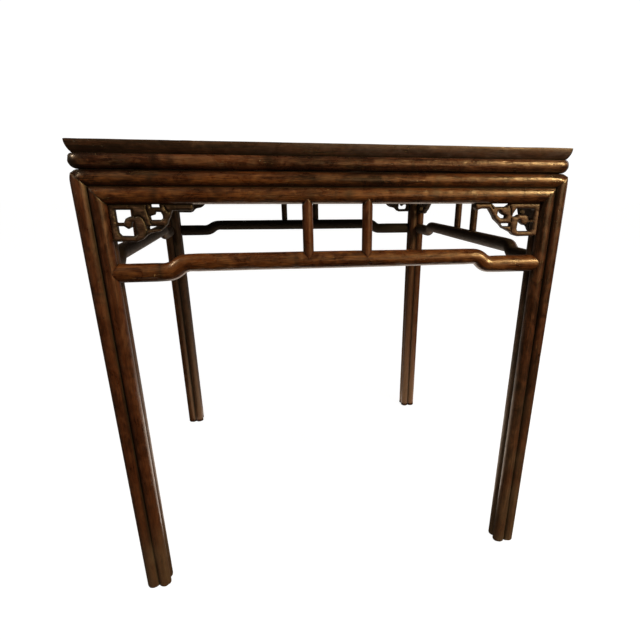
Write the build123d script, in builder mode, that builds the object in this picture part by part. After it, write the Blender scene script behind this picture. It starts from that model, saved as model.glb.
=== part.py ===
from build123d import *
import math
import os

os.makedirs("parts", exist_ok=True)

# ---------------------------------------------------------------- driving dimensions (mm)
HALF = 420.0            # half of the side, measured over the crowns of the reeds (840 mm square table)
HEIGHT = 860.0          # floor to table top
TOP_HALF = 416.5        # half of the side of the top frame, at its sharp upper arris
EDGE = 19.5             # thickness of the moulded edge of the top frame
EDGE_INSET = 6.5        # how far the thumbnail moulding undercuts the edge
BEAD_H = 22.5           # height of the bead strip
BEAD_CREST = 10.2       # crest of the bead below its top
BEAD_NECK = 7.0         # how far the bead's top lies inside its crest
REED_1 = 24.0           # upper reed of the apron, same width as a leg reed
REED_2 = 27.2           # lower reed of the apron
LEG = 48.0              # leg section, over its four reeds
REED_R = 12.8           # radius of every reed of the leg
SKIN = 20.0             # depth of the mitred apron skin that laps over the leg core
APRON_T = 28.0          # full thickness of an apron between the legs
RAIL_W = 78.0           # width of a top frame rail
RAIL_T = 28.0           # thickness of a rail inside the bead strips
BOARD_T = 14.0          # thickness of the top boards
STRETCH_R = 15.0        # stretcher radius
STRETCH_HI = 674.2      # height of the stretcher axis, raised middle
STRETCH_LO = 659.4      # height of the stretcher axis, at the legs
STRUT_R = 9.2           # strut radius
SPANDREL_T = 14.0       # spandrel board thickness
PEG_R = 3.0             # planted pegs and dowels

# ---------------------------------------------------------------- derived levels and lines
Z_BEAD_TOP = HEIGHT - EDGE                 # 840.5
Z_BEAD = Z_BEAD_TOP - BEAD_H               # 818, top of the apron
Z_REED = Z_BEAD - REED_1                   # 794, groove between the two apron reeds
Z_APRON = Z_REED - REED_2                  # 766.8, underside of the apron
Z_CORE = HEIGHT - RAIL_T                   # 832, shoulder of the leg under the top frame
AXIS = HALF - LEG / 2                      # 396, leg axis
LOBE = LEG / 2 - REED_R                    # 11.2, reed axis from leg axis
INNER = HALF - LEG                         # 372, inner face of the leg
CORE = HALF - SKIN                         # 400, outer face of the leg core
APRON_BACK = HALF - APRON_T                # 392
CUSP = REED_R - (REED_R**2 - LOBE**2) ** 0.5   # depth of the groove between two reeds
K2 = REED_2 / REED_1                       # the lower apron reed is the leg reed, stretched upwards
REED2_Z = Z_REED - LOBE * K2               # axis of the lower apron reed
REED_TOP = math.degrees(math.asin(LOBE / REED_R))   # angle of the groove as seen from a reed's axis
RAIL_IN = TOP_HALF - RAIL_W                # 338.5, inner edge of the top frame
STRETCH_Y = HALF - 0.5 - STRETCH_R         # 404.5, stretcher axis from the table centre
STRUT_Y = HALF - 0.8 - STRUT_R             # 410, strut axis from the table centre

SIDES = ["front", "right", "back", "left"]  # each side is the front turned by 90 degrees more
STRUTS = {"front": (-57.5, 46.2), "right": (-41.0, 62.5), "back": (-56.0, 46.0), "left": (-62.0, 41.5)}
HUMPS = {  # where each stretcher leaves its low end, reaches its high middle, and comes down again
    "front": (-300.0, -257.0, 250.0, 286.0),
    "right": (-281.0, -245.0, 252.0, 289.0),
    "back": (-270.0, -233.0, 254.0, 299.0),
    "left": (-290.0, -251.0, 251.0, 290.0),
}


def turned(part, quarter):
    """A copy of a front piece, turned about the table's centre to another side."""
    with BuildPart() as copy:
        add(part, rotation=(0, 0, 90 * quarter))
    return copy


def keep(builder, name):
    builder.part.label = name
    export_step(builder.part, "parts/" + name + ".step")


# ---------------------------------------------------------------- legs
# Quatrefoil post: four reeds around a core. At the top the two outer faces are mitred into the apron
# reeds, and the core goes on up behind them to the top frame and ends in a square tenon.
LEG_TENON = 16.0
LEG_TENON_H = 16.0
TENON_C = 387.0         # centre of the leg-top tenon, from the table centre
APRON_TENON = (5.5, 30.0, 18.0)     # thickness, height, length
APRON_TENON_Y = APRON_BACK + APRON_TENON[0] / 2
STRETCH_TENON = (9.0, 18.0, 22.0)   # thickness, height, length
SPANDREL_PEG_V = 42.0   # height of the spandrel's leg peg below the apron
SPANDREL_PEG_U = 27.0   # distance of the spandrel's apron peg from the leg
SPANDREL_Y = HALF - 9.0 - SPANDREL_T / 2    # middle plane of a spandrel, set back behind the crowns of the reeds

with BuildPart() as leg:
    with BuildSketch(Plane.XY):
        with Locations((-AXIS, -AXIS)):
            with GridLocations(2 * LOBE, 2 * LOBE, 2, 2):
                Circle(REED_R)
            Rectangle(2 * LOBE, 2 * LOBE)
    extrude(amount=Z_CORE)
    # soft arris round the foot
    chamfer(leg.edges().group_by(Axis.Z)[0], length=1.2)
    # mitred skin, front face: everything above the mitre belongs to the apron
    with BuildSketch(Plane.XZ.offset(CORE)):
        with BuildLine():
            Polyline(
                (-HALF - 1, Z_BEAD + 1), (-AXIS, Z_REED), (-INNER, Z_APRON), (-INNER + 1, Z_APRON),
                (-INNER + 1, Z_CORE + 1), (-HALF - 1, Z_CORE + 1), close=True,
            )
        make_face()
    extrude(amount=SKIN + 1, mode=Mode.SUBTRACT)
    # mitred skin, side face
    with BuildSketch(Plane.YZ.offset(-CORE)):
        with BuildLine():
            Polyline(
                (-HALF - 1, Z_BEAD + 1), (-AXIS, Z_REED), (-INNER, Z_APRON), (-INNER + 1, Z_APRON),
                (-INNER + 1, Z_CORE + 1), (-HALF - 1, Z_CORE + 1), close=True,
            )
        make_face()
    extrude(amount=-(SKIN + 1), mode=Mode.SUBTRACT)
    # square tenon into the mitred corner of the top frame
    with BuildSketch(Plane.XY.offset(Z_CORE)):
        with Locations((-TENON_C, -TENON_C)):
            Rectangle(LEG_TENON, LEG_TENON)
    extrude(amount=LEG_TENON_H)
    # mortises for the two aprons
    with BuildSketch(Plane.YZ.offset(-INNER)):
        with Locations((-APRON_TENON_Y, (Z_APRON + Z_BEAD) / 2)):
            Rectangle(APRON_TENON[0], APRON_TENON[1])
    extrude(amount=-APRON_TENON[2], mode=Mode.SUBTRACT)
    with BuildSketch(Plane.XZ.offset(INNER)):
        with Locations((-APRON_TENON_Y, (Z_APRON + Z_BEAD) / 2)):
            Rectangle(APRON_TENON[0], APRON_TENON[1])
    extrude(amount=APRON_TENON[2], mode=Mode.SUBTRACT)
    # mortises for the two stretchers
    with BuildSketch(Plane.YZ.offset(-INNER)):
        with Locations((-STRETCH_Y, STRETCH_LO)):
            Rectangle(STRETCH_TENON[0], STRETCH_TENON[1])
    extrude(amount=-STRETCH_TENON[2], mode=Mode.SUBTRACT)
    with BuildSketch(Plane.XZ.offset(INNER)):
        with Locations((-STRETCH_Y, STRETCH_LO)):
            Rectangle(STRETCH_TENON[0], STRETCH_TENON[1])
    extrude(amount=STRETCH_TENON[2], mode=Mode.SUBTRACT)
    # holes for the spandrel pegs
    with BuildSketch(Plane.YZ.offset(-INNER)):
        with Locations((-SPANDREL_Y, Z_APRON - SPANDREL_PEG_V)):
            Circle(PEG_R)
    extrude(amount=-11, mode=Mode.SUBTRACT)
    with BuildSketch(Plane.XZ.offset(INNER)):
        with Locations((-SPANDREL_Y, Z_APRON - SPANDREL_PEG_V)):
            Circle(PEG_R)
    extrude(amount=11, mode=Mode.SUBTRACT)

for k, name in enumerate(["front_left_leg", "front_right_leg", "back_right_leg", "back_left_leg"]):
    keep(turned(leg.part, k), name)


# ---------------------------------------------------------------- aprons
# Double-reeded board. Its ends lap over the leg cores as a 20 mm skin, cut to the mitre of the leg reeds
# below and to the diagonal of the corner, where it meets the next apron.
# Section: upper reed, groove, lower reed, flat back. Local x is +Y, local y is +Z.
with BuildSketch(Plane.YZ) as apron_section:
    with BuildLine():
        Line((-APRON_BACK, Z_APRON), (-APRON_BACK, Z_BEAD))
        Line((-APRON_BACK, Z_BEAD), (-HALF + REED_R, Z_BEAD))
        ThreePointArc(
            (-HALF + REED_R, Z_BEAD),
            (-HALF + REED_R * (1 - math.cos(math.radians(REED_TOP / 2))),
             Z_BEAD - REED_R + REED_R * math.sin(math.radians(REED_TOP / 2))),
            (-HALF, Z_BEAD - REED_R),
        )
        ThreePointArc(
            (-HALF, Z_BEAD - REED_R),
            (-HALF + REED_R * (1 - math.cos(math.radians(REED_TOP / 2))),
             Z_BEAD - REED_R - REED_R * math.sin(math.radians(REED_TOP / 2))),
            (-HALF + CUSP, Z_REED),
        )
        EllipticalCenterArc(
            (-HALF + REED_R, REED2_Z), REED_R, REED_R * K2,
            start_angle=180 - REED_TOP, arc_size=90 + REED_TOP,
        )
        Line((-HALF + REED_R, Z_APRON), (-APRON_BACK, Z_APRON))
    make_face()


def make_apron(strut_x):
    with BuildPart() as apron:
        with BuildSketch(Plane.YZ.offset(-HALF)):
            add(apron_section.sketch_local)
        extrude(amount=2 * HALF)
        # mitres to the leg reeds, both ends
        with BuildSketch(Plane.XZ.offset(CORE)):
            with BuildLine():
                Polyline(
                    (-HALF - 1, Z_BEAD + 1), (-AXIS, Z_REED), (-INNER, Z_APRON), (-INNER, Z_APRON - 1),
                    (-HALF - 1, Z_APRON - 1), close=True,
                )
            make_face()
            mirror(about=Plane.YZ)
        extrude(amount=SKIN + 1, mode=Mode.SUBTRACT)
        # the thick back stops at the inner faces of the legs, the skin at the diagonal of the corner
        with BuildSketch(Plane.XY.offset(Z_APRON - 1)):
            with BuildLine():
                Polyline(
                    (-HALF - 1, -HALF - 1), (-CORE, -CORE), (-INNER, -CORE), (-INNER, -APRON_BACK + 1),
                    (-HALF - 1, -APRON_BACK + 1), close=True,
                )
            make_face()
            mirror(about=Plane.YZ)
        extrude(amount=Z_BEAD - Z_APRON + 2, mode=Mode.SUBTRACT)
        # tenons into the legs
        with BuildSketch(Plane.XZ.offset(APRON_BACK)):
            with Locations((-INNER - APRON_TENON[2] / 2, (Z_APRON + Z_BEAD) / 2),
                           (INNER + APRON_TENON[2] / 2, (Z_APRON + Z_BEAD) / 2)):
                Rectangle(APRON_TENON[2], APRON_TENON[1])
        extrude(amount=APRON_TENON[0])
        # sockets for the struts and the spandrel pegs, from below
        with BuildSketch(Plane.XY.offset(Z_APRON)):
            with Locations(*[(x, -STRUT_Y + 2) for x in strut_x]):
                Circle(4.5)
        extrude(amount=14, mode=Mode.SUBTRACT)
        with BuildSketch(Plane.XY.offset(Z_APRON)):
            with Locations((-INNER + SPANDREL_PEG_U, -SPANDREL_Y), (INNER - SPANDREL_PEG_U, -SPANDREL_Y)):
                Circle(PEG_R)
        extrude(amount=12, mode=Mode.SUBTRACT)
    return apron


for k, side in enumerate(SIDES):
    keep(turned(make_apron(STRUTS[side]).part, k), side + "_apron")

# ---------------------------------------------------------------- bead strips
# Fully rounded strip between the aprons and the edge of the top, turned round the corner and mitred there.
# Its crest lies above the middle, so that it hangs over the groove below it.
DOWEL_X = (-330.0, -115.0, 115.0, 330.0)
DOWEL_Y = CORE + 4.5
with BuildPart() as bead:
    with BuildSketch(Plane.YZ.offset(-CORE)):
        with BuildLine():
            Line((-CORE, Z_BEAD), (-CORE, Z_BEAD_TOP))
            Line((-CORE, Z_BEAD_TOP), (-HALF + BEAD_NECK, Z_BEAD_TOP))
            EllipticalCenterArc(
                (-HALF + BEAD_NECK, Z_BEAD_TOP - BEAD_CREST), BEAD_NECK, BEAD_CREST, start_angle=90, arc_size=90
            )
            EllipticalCenterArc(
                (-HALF + REED_R, Z_BEAD_TOP - BEAD_CREST), REED_R, BEAD_H - BEAD_CREST, start_angle=180, arc_size=90
            )
            Line((-HALF + REED_R, Z_BEAD), (-CORE, Z_BEAD))
        make_face()
    extrude(amount=2 * CORE)
    revolve(bead.faces().sort_by(Axis.X)[0], axis=Axis((-CORE, -CORE, 0), (0, 0, 1)), revolution_arc=-45)
    revolve(bead.faces().filter_by(Axis.X).sort_by(Axis.X)[-1],
            axis=Axis((CORE, -CORE, 0), (0, 0, 1)), revolution_arc=45)
    with BuildSketch(Plane.XY.offset(Z_BEAD_TOP)):
        with Locations(*[(x, -DOWEL_Y) for x in DOWEL_X]):
            Circle(PEG_R)
    extrude(amount=-8, mode=Mode.SUBTRACT)

for k, side in enumerate(SIDES):
    keep(turned(bead.part, k), side + "_bead_strip")

# ---------------------------------------------------------------- top frame
# Four mitred rails with a thumbnail edge, a groove for the boards and a deeper body inside the bead
# strips. The front and back rails carry the corner tenons, the side rails the corner mortises.
GROOVE_LO = HEIGHT - BOARD_T               # 846
GROOVE_HI = GROOVE_LO + 6.0                # 852
GROOVE_D = 8.0
CORNER_TENON = (350.0, 374.0, 836.0, 844.0)   # low and high distance from the centre, low and high z
BATTEN_X = (-122.0, 122.0)
BATTEN_TENON = (20.0, 7.0, 14.0)           # width, height, length
BATTEN_TENON_Z = 838.5


with BuildPart() as rail_block:      # a rail along the front with everything that the four share
    with BuildSketch(Plane.YZ.offset(-TOP_HALF)):
        with BuildLine():
            ThreePointArc(
                (-TOP_HALF, HEIGHT - 0.8),
                (-TOP_HALF + 1.4, HEIGHT - 10.4),
                (-TOP_HALF + EDGE_INSET, Z_BEAD_TOP),
            )
            Polyline(
                (-TOP_HALF + EDGE_INSET, Z_BEAD_TOP), (-CORE, Z_BEAD_TOP), (-CORE, Z_CORE),
                (-RAIL_IN, Z_CORE), (-RAIL_IN, GROOVE_LO), (-RAIL_IN - GROOVE_D, GROOVE_LO),
                (-RAIL_IN - GROOVE_D, GROOVE_HI), (-RAIL_IN, GROOVE_HI), (-RAIL_IN, HEIGHT),
                (-TOP_HALF + 0.8, HEIGHT), (-TOP_HALF, HEIGHT - 0.8),
            )
        make_face()
    extrude(amount=2 * TOP_HALF)
    # mitres
    with BuildSketch(Plane.XY.offset(Z_CORE - 1)):
        with BuildLine():
            Polyline(
                (-TOP_HALF - 1, -TOP_HALF - 1), (-RAIL_IN + 1, -RAIL_IN + 1),
                (-TOP_HALF - 1, -RAIL_IN + 1), close=True,
            )
        make_face()
        mirror(about=Plane.YZ)
    extrude(amount=RAIL_T + 2, mode=Mode.SUBTRACT)
    # sockets for the leg-top tenons
    with BuildSketch(Plane.XY.offset(Z_CORE)):
        with Locations((-TENON_C, -TENON_C), (TENON_C, -TENON_C)):
            Rectangle(LEG_TENON, LEG_TENON)
    extrude(amount=LEG_TENON_H, mode=Mode.SUBTRACT)
    # sockets for the bead strip dowels
    with BuildSketch(Plane.XY.offset(Z_BEAD_TOP)):
        with Locations(*[(x, -DOWEL_Y) for x in DOWEL_X]):
            Circle(PEG_R)
    extrude(amount=8, mode=Mode.SUBTRACT)

with BuildPart() as long_rail:
    add(rail_block.part)
    # corner tenons, from the mitre out to the back of the side bead strips
    for s in (-1, 1):
        with BuildSketch(Plane.XY.offset(CORNER_TENON[2])):
            with BuildLine():
                Polyline(
                    (s * (CORNER_TENON[0] - 2), -CORNER_TENON[0]), (s * CORE, -CORNER_TENON[0]),
                    (s * CORE, -CORNER_TENON[1]), (s * (CORNER_TENON[1] - 2), -CORNER_TENON[1]), close=True,
                )
            make_face()
        extrude(amount=CORNER_TENON[3] - CORNER_TENON[2])
    # mortises for the battens
    with BuildSketch(Plane.XZ.offset(RAIL_IN)):
        with Locations(*[(x, BATTEN_TENON_Z) for x in BATTEN_X]):
            Rectangle(BATTEN_TENON[0], BATTEN_TENON[1])
    extrude(amount=BATTEN_TENON[2], mode=Mode.SUBTRACT)

with BuildPart() as end_rail:
    add(rail_block.part)
    for s in (-1, 1):
        with BuildSketch(Plane.XY.offset(CORNER_TENON[2])):
            with BuildLine():
                Polyline(
                    (s * CORNER_TENON[0], -CORNER_TENON[0] + 2), (s * CORNER_TENON[0], -CORE),
                    (s * CORNER_TENON[1], -CORE), (s * CORNER_TENON[1], -CORNER_TENON[1] + 2), close=True,
                )
            make_face()
        extrude(amount=CORNER_TENON[3] - CORNER_TENON[2], mode=Mode.SUBTRACT)

keep(turned(long_rail.part, 0), "front_top_rail")
keep(turned(end_rail.part, 1), "right_top_rail")
keep(turned(long_rail.part, 2), "back_top_rail")
keep(turned(end_rail.part, 3), "left_top_rail")

# ---------------------------------------------------------------- top boards and battens
# Three boards along X, tongue and groove between them, a tongue all round in the groove of the frame, and
# two dovetail slots across the underside for the battens.
PANEL = RAIL_IN - 0.5                      # the boards float with a small gap inside the frame
TONGUE = RAIL_IN + GROOVE_D - 1.0          # and stop short of the bottom of the groove
SEAMS = (-TONGUE, -114.0, 119.0, TONGUE)
DOVETAIL = (26.0, 31.0, 4.0)               # mouth, root, depth


def make_board(lo, hi):
    first, last = lo == SEAMS[0], hi == SEAMS[-1]
    with BuildPart() as board:
        y0 = -PANEL if first else lo
        y1 = PANEL if last else hi
        with BuildSketch(Plane.XY.offset(GROOVE_LO)):
            with Locations((0, (y0 + y1) / 2)):
                Rectangle(2 * PANEL, y1 - y0)
        extrude(amount=BOARD_T)
        # tongue into the frame
        with BuildSketch(Plane.XY.offset(GROOVE_LO)):
            with Locations((0, (lo + hi) / 2)):
                Rectangle(2 * TONGUE, hi - lo)
        extrude(amount=GROOVE_HI - GROOVE_LO - 0.2)
        # tongue and groove with the next boards
        if not last:
            with BuildSketch(Plane.YZ.offset(-PANEL)):
                with Locations((hi + 2.5, HEIGHT - 5.0)):
                    Rectangle(5.0, 4.0)
            extrude(amount=2 * PANEL)
        if not first:
            with BuildSketch(Plane.YZ.offset(-PANEL)):
                with Locations((lo + 2.75, HEIGHT - 5.0)):
                    Rectangle(5.5, 4.0)
            extrude(amount=2 * PANEL, mode=Mode.SUBTRACT)
        # dovetail slots for the battens
        with BuildSketch(Plane.XZ.offset(-hi - 10)):
            for x in BATTEN_X:
                with BuildLine():
                    Polyline(
                        (x - DOVETAIL[0] / 2, GROOVE_LO), (x + DOVETAIL[0] / 2, GROOVE_LO),
                        (x + DOVETAIL[1] / 2, GROOVE_LO + DOVETAIL[2]),
                        (x - DOVETAIL[1] / 2, GROOVE_LO + DOVETAIL[2]), close=True,
                    )
                make_face()
        extrude(amount=hi - lo + 20, mode=Mode.SUBTRACT)
    return board


for i, name in enumerate(["top_board_front", "top_board_middle", "top_board_back"]):
    keep(make_board(SEAMS[i], SEAMS[i + 1]), name)


def make_batten(x):
    with BuildPart() as batten:
        with BuildSketch(Plane.XZ.offset(RAIL_IN)):
            with BuildLine():
                Polyline(
                    (x - 16, 829), (x - 14, 827), (x + 14, 827), (x + 16, 829), (x + 16, GROOVE_LO),
                    (x + DOVETAIL[0] / 2, GROOVE_LO), (x + DOVETAIL[1] / 2, GROOVE_LO + DOVETAIL[2]),
                    (x - DOVETAIL[1] / 2, GROOVE_LO + DOVETAIL[2]), (x - DOVETAIL[0] / 2, GROOVE_LO),
                    (x - 16, GROOVE_LO), close=True,
                )
            make_face()
        extrude(amount=-2 * RAIL_IN)
        with BuildSketch(Plane.XZ.offset(RAIL_IN + BATTEN_TENON[2])):
            with Locations((x, BATTEN_TENON_Z)):
                Rectangle(BATTEN_TENON[0], BATTEN_TENON[1])
        extrude(amount=-2 * (RAIL_IN + BATTEN_TENON[2]))
    return batten


keep(make_batten(BATTEN_X[0]), "left_batten")
keep(make_batten(BATTEN_X[1]), "right_batten")


# ---------------------------------------------------------------- humpback stretchers
# Round rod, low at the legs and raised between, each step an S of two equal tangent arcs. The ends are
# scribed over the reeds of the legs and end in flat tenons.
def step_arc(x0, z0, x1, z1):
    """Middle point of the S, and the point half way along its first arc."""
    run, rise = abs(x1 - x0), abs(z1 - z0)
    r = (run**2 + rise**2) / (4 * rise)
    half = math.asin((run / 2) / r) / 2
    sx = 1 if x1 > x0 else -1
    sz = 1 if z1 > z0 else -1
    return (
        (x0 + sx * r * math.sin(half), z0 + sz * r * (1 - math.cos(half))),
        ((x0 + x1) / 2, (z0 + z1) / 2),
        (x1 - sx * r * math.sin(half), z1 - sz * r * (1 - math.cos(half))),
    )


def make_stretcher(hump, strut_x):
    a, b, c, d = hump
    lo, hi = STRETCH_LO, STRETCH_HI
    end = AXIS - LOBE
    with BuildPart() as stretcher:
        with BuildLine(Plane.XZ.offset(STRETCH_Y)):
            up, mid_up, top = step_arc(a, lo, b, hi)
            dn, mid_dn, bot = step_arc(c, hi, d, lo)
            Line((-end, lo), (a, lo))
            ThreePointArc((a, lo), up, mid_up)
            ThreePointArc(mid_up, top, (b, hi))
            Line((b, hi), (c, hi))
            ThreePointArc((c, hi), dn, mid_dn)
            ThreePointArc(mid_dn, bot, (d, lo))
            Line((d, lo), (end, lo))
        with BuildSketch(Plane((-end, -STRETCH_Y, lo), x_dir=(0, 1, 0), z_dir=(1, 0, 0))):
            Circle(STRETCH_R)
        sweep()
        # scribed shoulders: the reeds of both legs are taken out of the rod's ends
        with BuildSketch(Plane.XY.offset(lo - 40)):
            with Locations(*[(s * end, y) for s in (-1, 1) for y in (-AXIS - LOBE, -AXIS + LOBE)]):
                Circle(REED_R)
        extrude(amount=80, mode=Mode.SUBTRACT)
        # tenons into the legs
        for s in (-1, 1):
            with BuildSketch(Plane.YZ.offset(s * (INNER - 4))):
                with Locations((-STRETCH_Y, lo)):
                    Rectangle(STRETCH_TENON[0], STRETCH_TENON[1])
            extrude(amount=s * (STRETCH_TENON[2] + 4))
        # sockets for the struts, from above
        with BuildSketch(Plane.XY.offset(hi - 6)):
            with Locations(*[(x, -STRUT_Y + 2) for x in strut_x]):
                Circle(4.5)
        extrude(amount=30, mode=Mode.SUBTRACT)
    return stretcher


for k, side in enumerate(SIDES):
    keep(turned(make_stretcher(HUMPS[side], STRUTS[side]).part, k), side + "_stretcher")


# ---------------------------------------------------------------- struts
# Short round strut. Both shoulders are scribed: the lower one over the stretcher, the upper one over the
# lower reed of the apron, so that each ends in a point in front. A round tenon goes in at each end.
def make_strut(x):
    with BuildPart() as strut:
        with BuildSketch(Plane.XY.offset(STRETCH_HI)):
            with Locations((x, -STRUT_Y)):
                Circle(STRUT_R)
        extrude(amount=REED2_Z - STRETCH_HI)
        with BuildSketch(Plane.YZ.offset(x - 20)):
            with Locations((-STRETCH_Y, STRETCH_HI)):
                Circle(STRETCH_R)
        extrude(amount=40, mode=Mode.SUBTRACT)
        with BuildSketch(Plane.YZ.offset(x - 20)):
            add(apron_section.sketch_local)
        extrude(amount=40, mode=Mode.SUBTRACT)
        with BuildSketch(Plane.XY.offset(STRETCH_HI - 6)):
            with Locations((x, -STRUT_Y + 2)):
                Circle(4.5)
        extrude(amount=Z_APRON + 14 - (STRETCH_HI - 6))
    return strut


for k, side in enumerate(SIDES):
    for x, hand in zip(STRUTS[side], ("left", "right")):
        keep(turned(make_strut(x).part, k), side + "_" + hand + "_strut")

# ---------------------------------------------------------------- openwork scroll spandrels
# Outlines in (u, v): u runs from the leg's inner face along the apron, v down from the apron's underside.
# A squared key scroll stands in the corner, a smaller curl hangs beside it, and a beak runs on under the
# apron and ends in a drooping tip. The two hands are cut a little differently.
SPANDREL_U = 373.0      # origin of u, from the table's centre
SPANDREL_V = 767.5      # origin of v, above the floor
SCROLL_LEFT = {
    "outer": [(-8, -8), (130, -8), (130, 7), (127.5, 10.4), (121, 10), (97.5, 10), (95.3, 14.3), (93.4, 19.7),
              (90.1, 24.5), (87.8, 31), (83, 35.6), (74.5, 42.2), (60.1, 44.6), (53, 48.6), (47.5, 54),
              (37, 58), (-8, 57.2)],
    "holes": [
        [(65.3, -12), (65.1, 4.9), (79, 5), (80.3, -12)],
        [(71.5, 12), (79, 12.4), (81.3, 17), (81.3, 21.8), (77.5, 24.4), (62.5, 24.4), (61.8, 18.5), (69.5, 16.5)],
        [(10, 8.8), (36, 8.8), (35.6, 18), (29.4, 19.3), (24.5, 21.8), (20.7, 28.4), (10, 28.4)],
        [(10.4, 33.6), (20.2, 33.6), (26.5, 38.2), (31.3, 35.6), (33.5, 27.7), (37, 27.7), (38.4, 46),
         (34.5, 49.4), (14, 48.6), (10.6, 44.5)],
        [(54.8, 34), (82.5, 33.8), (77, 38.8), (55, 38.8)],
    ],
}
SCROLL_RIGHT = {
    "outer": [(-8, -8), (128.5, -8), (128.5, 7), (125, 12), (120, 10.2), (115.2, 9), (101, 9.3), (92.7, 20),
              (88.1, 27.4), (76.1, 37), (70.1, 43), (61.5, 46.8), (53.2, 50.6), (47.5, 55.6), (39, 58),
              (-8, 57.2)],
    "holes": [
        [(59.8, -12), (60.1, 1), (67.6, 6), (88.6, 6), (95.2, 1), (95.5, -12)],
        [(82.6, 13.6), (78.8, 11.8), (76, 16.6), (70.5, 20), (65.6, 21.6), (66.6, 25.8), (76, 26), (83.4, 20)],
        [(47, 9.3), (13.5, 9.3), (10.6, 12.6), (10.6, 29.6), (20.8, 29.6), (22.4, 22.8), (27.4, 20),
         (40.7, 20), (44.9, 22.8), (53.4, 22.6), (52.3, 17.5)],
        [(41, 29.4), (37, 29.6), (35, 34.2), (27.8, 38.6), (21, 33), (10.4, 33), (10, 45.8), (13.5, 49.2),
         (39, 49.2), (41.8, 45)],
        [(76.5, 34.6), (55.3, 34.6), (55.3, 40), (69.5, 40)],
    ],
}
SCROLL_BACK = {          # the two of the back side are a little smaller, without the small slot
    "outer": [(-8, -8), (124, -8), (124, 7), (121.5, 10.4), (115, 10), (92, 10), (89.8, 14.3), (87.5, 19.7),
              (83.4, 25.6), (80, 30.6), (74.5, 36.2), (67, 40.2), (53.5, 42.6), (48, 46.6), (43.5, 51.6),
              (36, 54.4), (-8, 54)],
    "holes": [
        [(60.5, -12), (60.3, 4.9), (73.5, 5), (74.8, -12)],
        [(66.5, 12), (73.5, 12.4), (75.8, 17), (75.8, 21.8), (72, 24.4), (58, 24.4), (57.3, 18.5), (64.5, 16.5)],
        [(10, 8.8), (36, 8.8), (35.6, 18), (29.4, 19.3), (24.5, 21.8), (20.7, 28), (10, 28)],
        [(10.4, 32.4), (20.2, 32.4), (26.5, 37.4), (31.3, 34.8), (33.5, 27.2), (37, 27.2), (38.4, 43.4),
         (35, 46.8), (13.4, 46.4), (10.6, 42.6)],
    ],
}


def make_spandrel(scroll, s):
    """s is -1 for the spandrel at the left leg of a side, 1 for the one at its right leg."""

    def place(uv):
        return (s * (SPANDREL_U - uv[0]), SPANDREL_V - uv[1])

    with BuildPart() as spandrel:
        with BuildSketch(Plane.XZ.offset(SPANDREL_Y - SPANDREL_T / 2)):
            with BuildLine():
                FilletPolyline(*[place(p) for p in scroll["outer"]], radius=1.6, close=True)
            make_face()
            for hole in scroll["holes"]:
                with BuildSketch(mode=Mode.SUBTRACT):
                    with BuildLine():
                        FilletPolyline(*[place(p) for p in hole], radius=1.1, close=True)
                    make_face()
        extrude(amount=SPANDREL_T)
        # scribed to the reed of the leg and to the lower reed of the apron
        with BuildSketch(Plane.XY.offset(Z_APRON - 80)):
            with Locations((s * (AXIS - LOBE), -AXIS - LOBE)):
                Circle(REED_R)
        extrude(amount=120, mode=Mode.SUBTRACT)
        with BuildSketch(Plane.YZ.offset(s * (INNER - 150))):
            add(apron_section.sketch_local)
        extrude(amount=s * 165, mode=Mode.SUBTRACT)
        # peg holes, into the top bar and the standing bar, from outside the scribed edges
        with BuildSketch(Plane.XY.offset(Z_APRON + 8)):
            with Locations((s * (INNER - SPANDREL_PEG_U), -SPANDREL_Y)):
                Circle(PEG_R)
        extrude(amount=-15, mode=Mode.SUBTRACT)
        with BuildSketch(Plane.YZ.offset(s * (INNER + 8))):
            with Locations((-SPANDREL_Y, Z_APRON - SPANDREL_PEG_V)):
                Circle(PEG_R)
        extrude(amount=-s * 15, mode=Mode.SUBTRACT)
    return spandrel


spandrel_left = make_spandrel(SCROLL_LEFT, -1)
spandrel_right = make_spandrel(SCROLL_RIGHT, 1)
back_left = make_spandrel(SCROLL_BACK, -1)
back_right = make_spandrel(SCROLL_BACK, 1)
for k, side in enumerate(SIDES):
    keep(turned((back_left if side == "back" else spandrel_left).part, k), side + "_left_spandrel")
    keep(turned((back_right if side == "back" else spandrel_right).part, k), side + "_right_spandrel")

# ---------------------------------------------------------------- planted pegs and dowels
with BuildPart() as pegs_one_side:
    with BuildSketch(Plane.XY.offset(Z_APRON - 7)):
        with Locations((-INNER + SPANDREL_PEG_U, -SPANDREL_Y), (INNER - SPANDREL_PEG_U, -SPANDREL_Y)):
            Circle(PEG_R)
    extrude(amount=19)
    for s in (-1, 1):
        with BuildSketch(Plane.YZ.offset(s * (INNER - 7))):
            with Locations((-SPANDREL_Y, Z_APRON - SPANDREL_PEG_V)):
                Circle(PEG_R)
        extrude(amount=s * 18)
with BuildPart() as spandrel_pegs:
    for k in range(4):
        add(pegs_one_side.part, rotation=(0, 0, 90 * k))
keep(spandrel_pegs, "spandrel_pegs")

with BuildPart() as dowels_one_side:
    with BuildSketch(Plane.XY.offset(Z_BEAD_TOP - 8)):
        with Locations(*[(x, -DOWEL_Y) for x in DOWEL_X]):
            Circle(PEG_R)
    extrude(amount=16)
with BuildPart() as bead_strip_dowels:
    for k in range(4):
        add(dowels_one_side.part, rotation=(0, 0, 90 * k))
keep(bead_strip_dowels, "bead_strip_dowels")
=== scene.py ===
import math

import bpy
import numpy as np
from mathutils import Matrix, Vector
from mathutils.geometry import delaunay_2d_cdt


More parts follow.
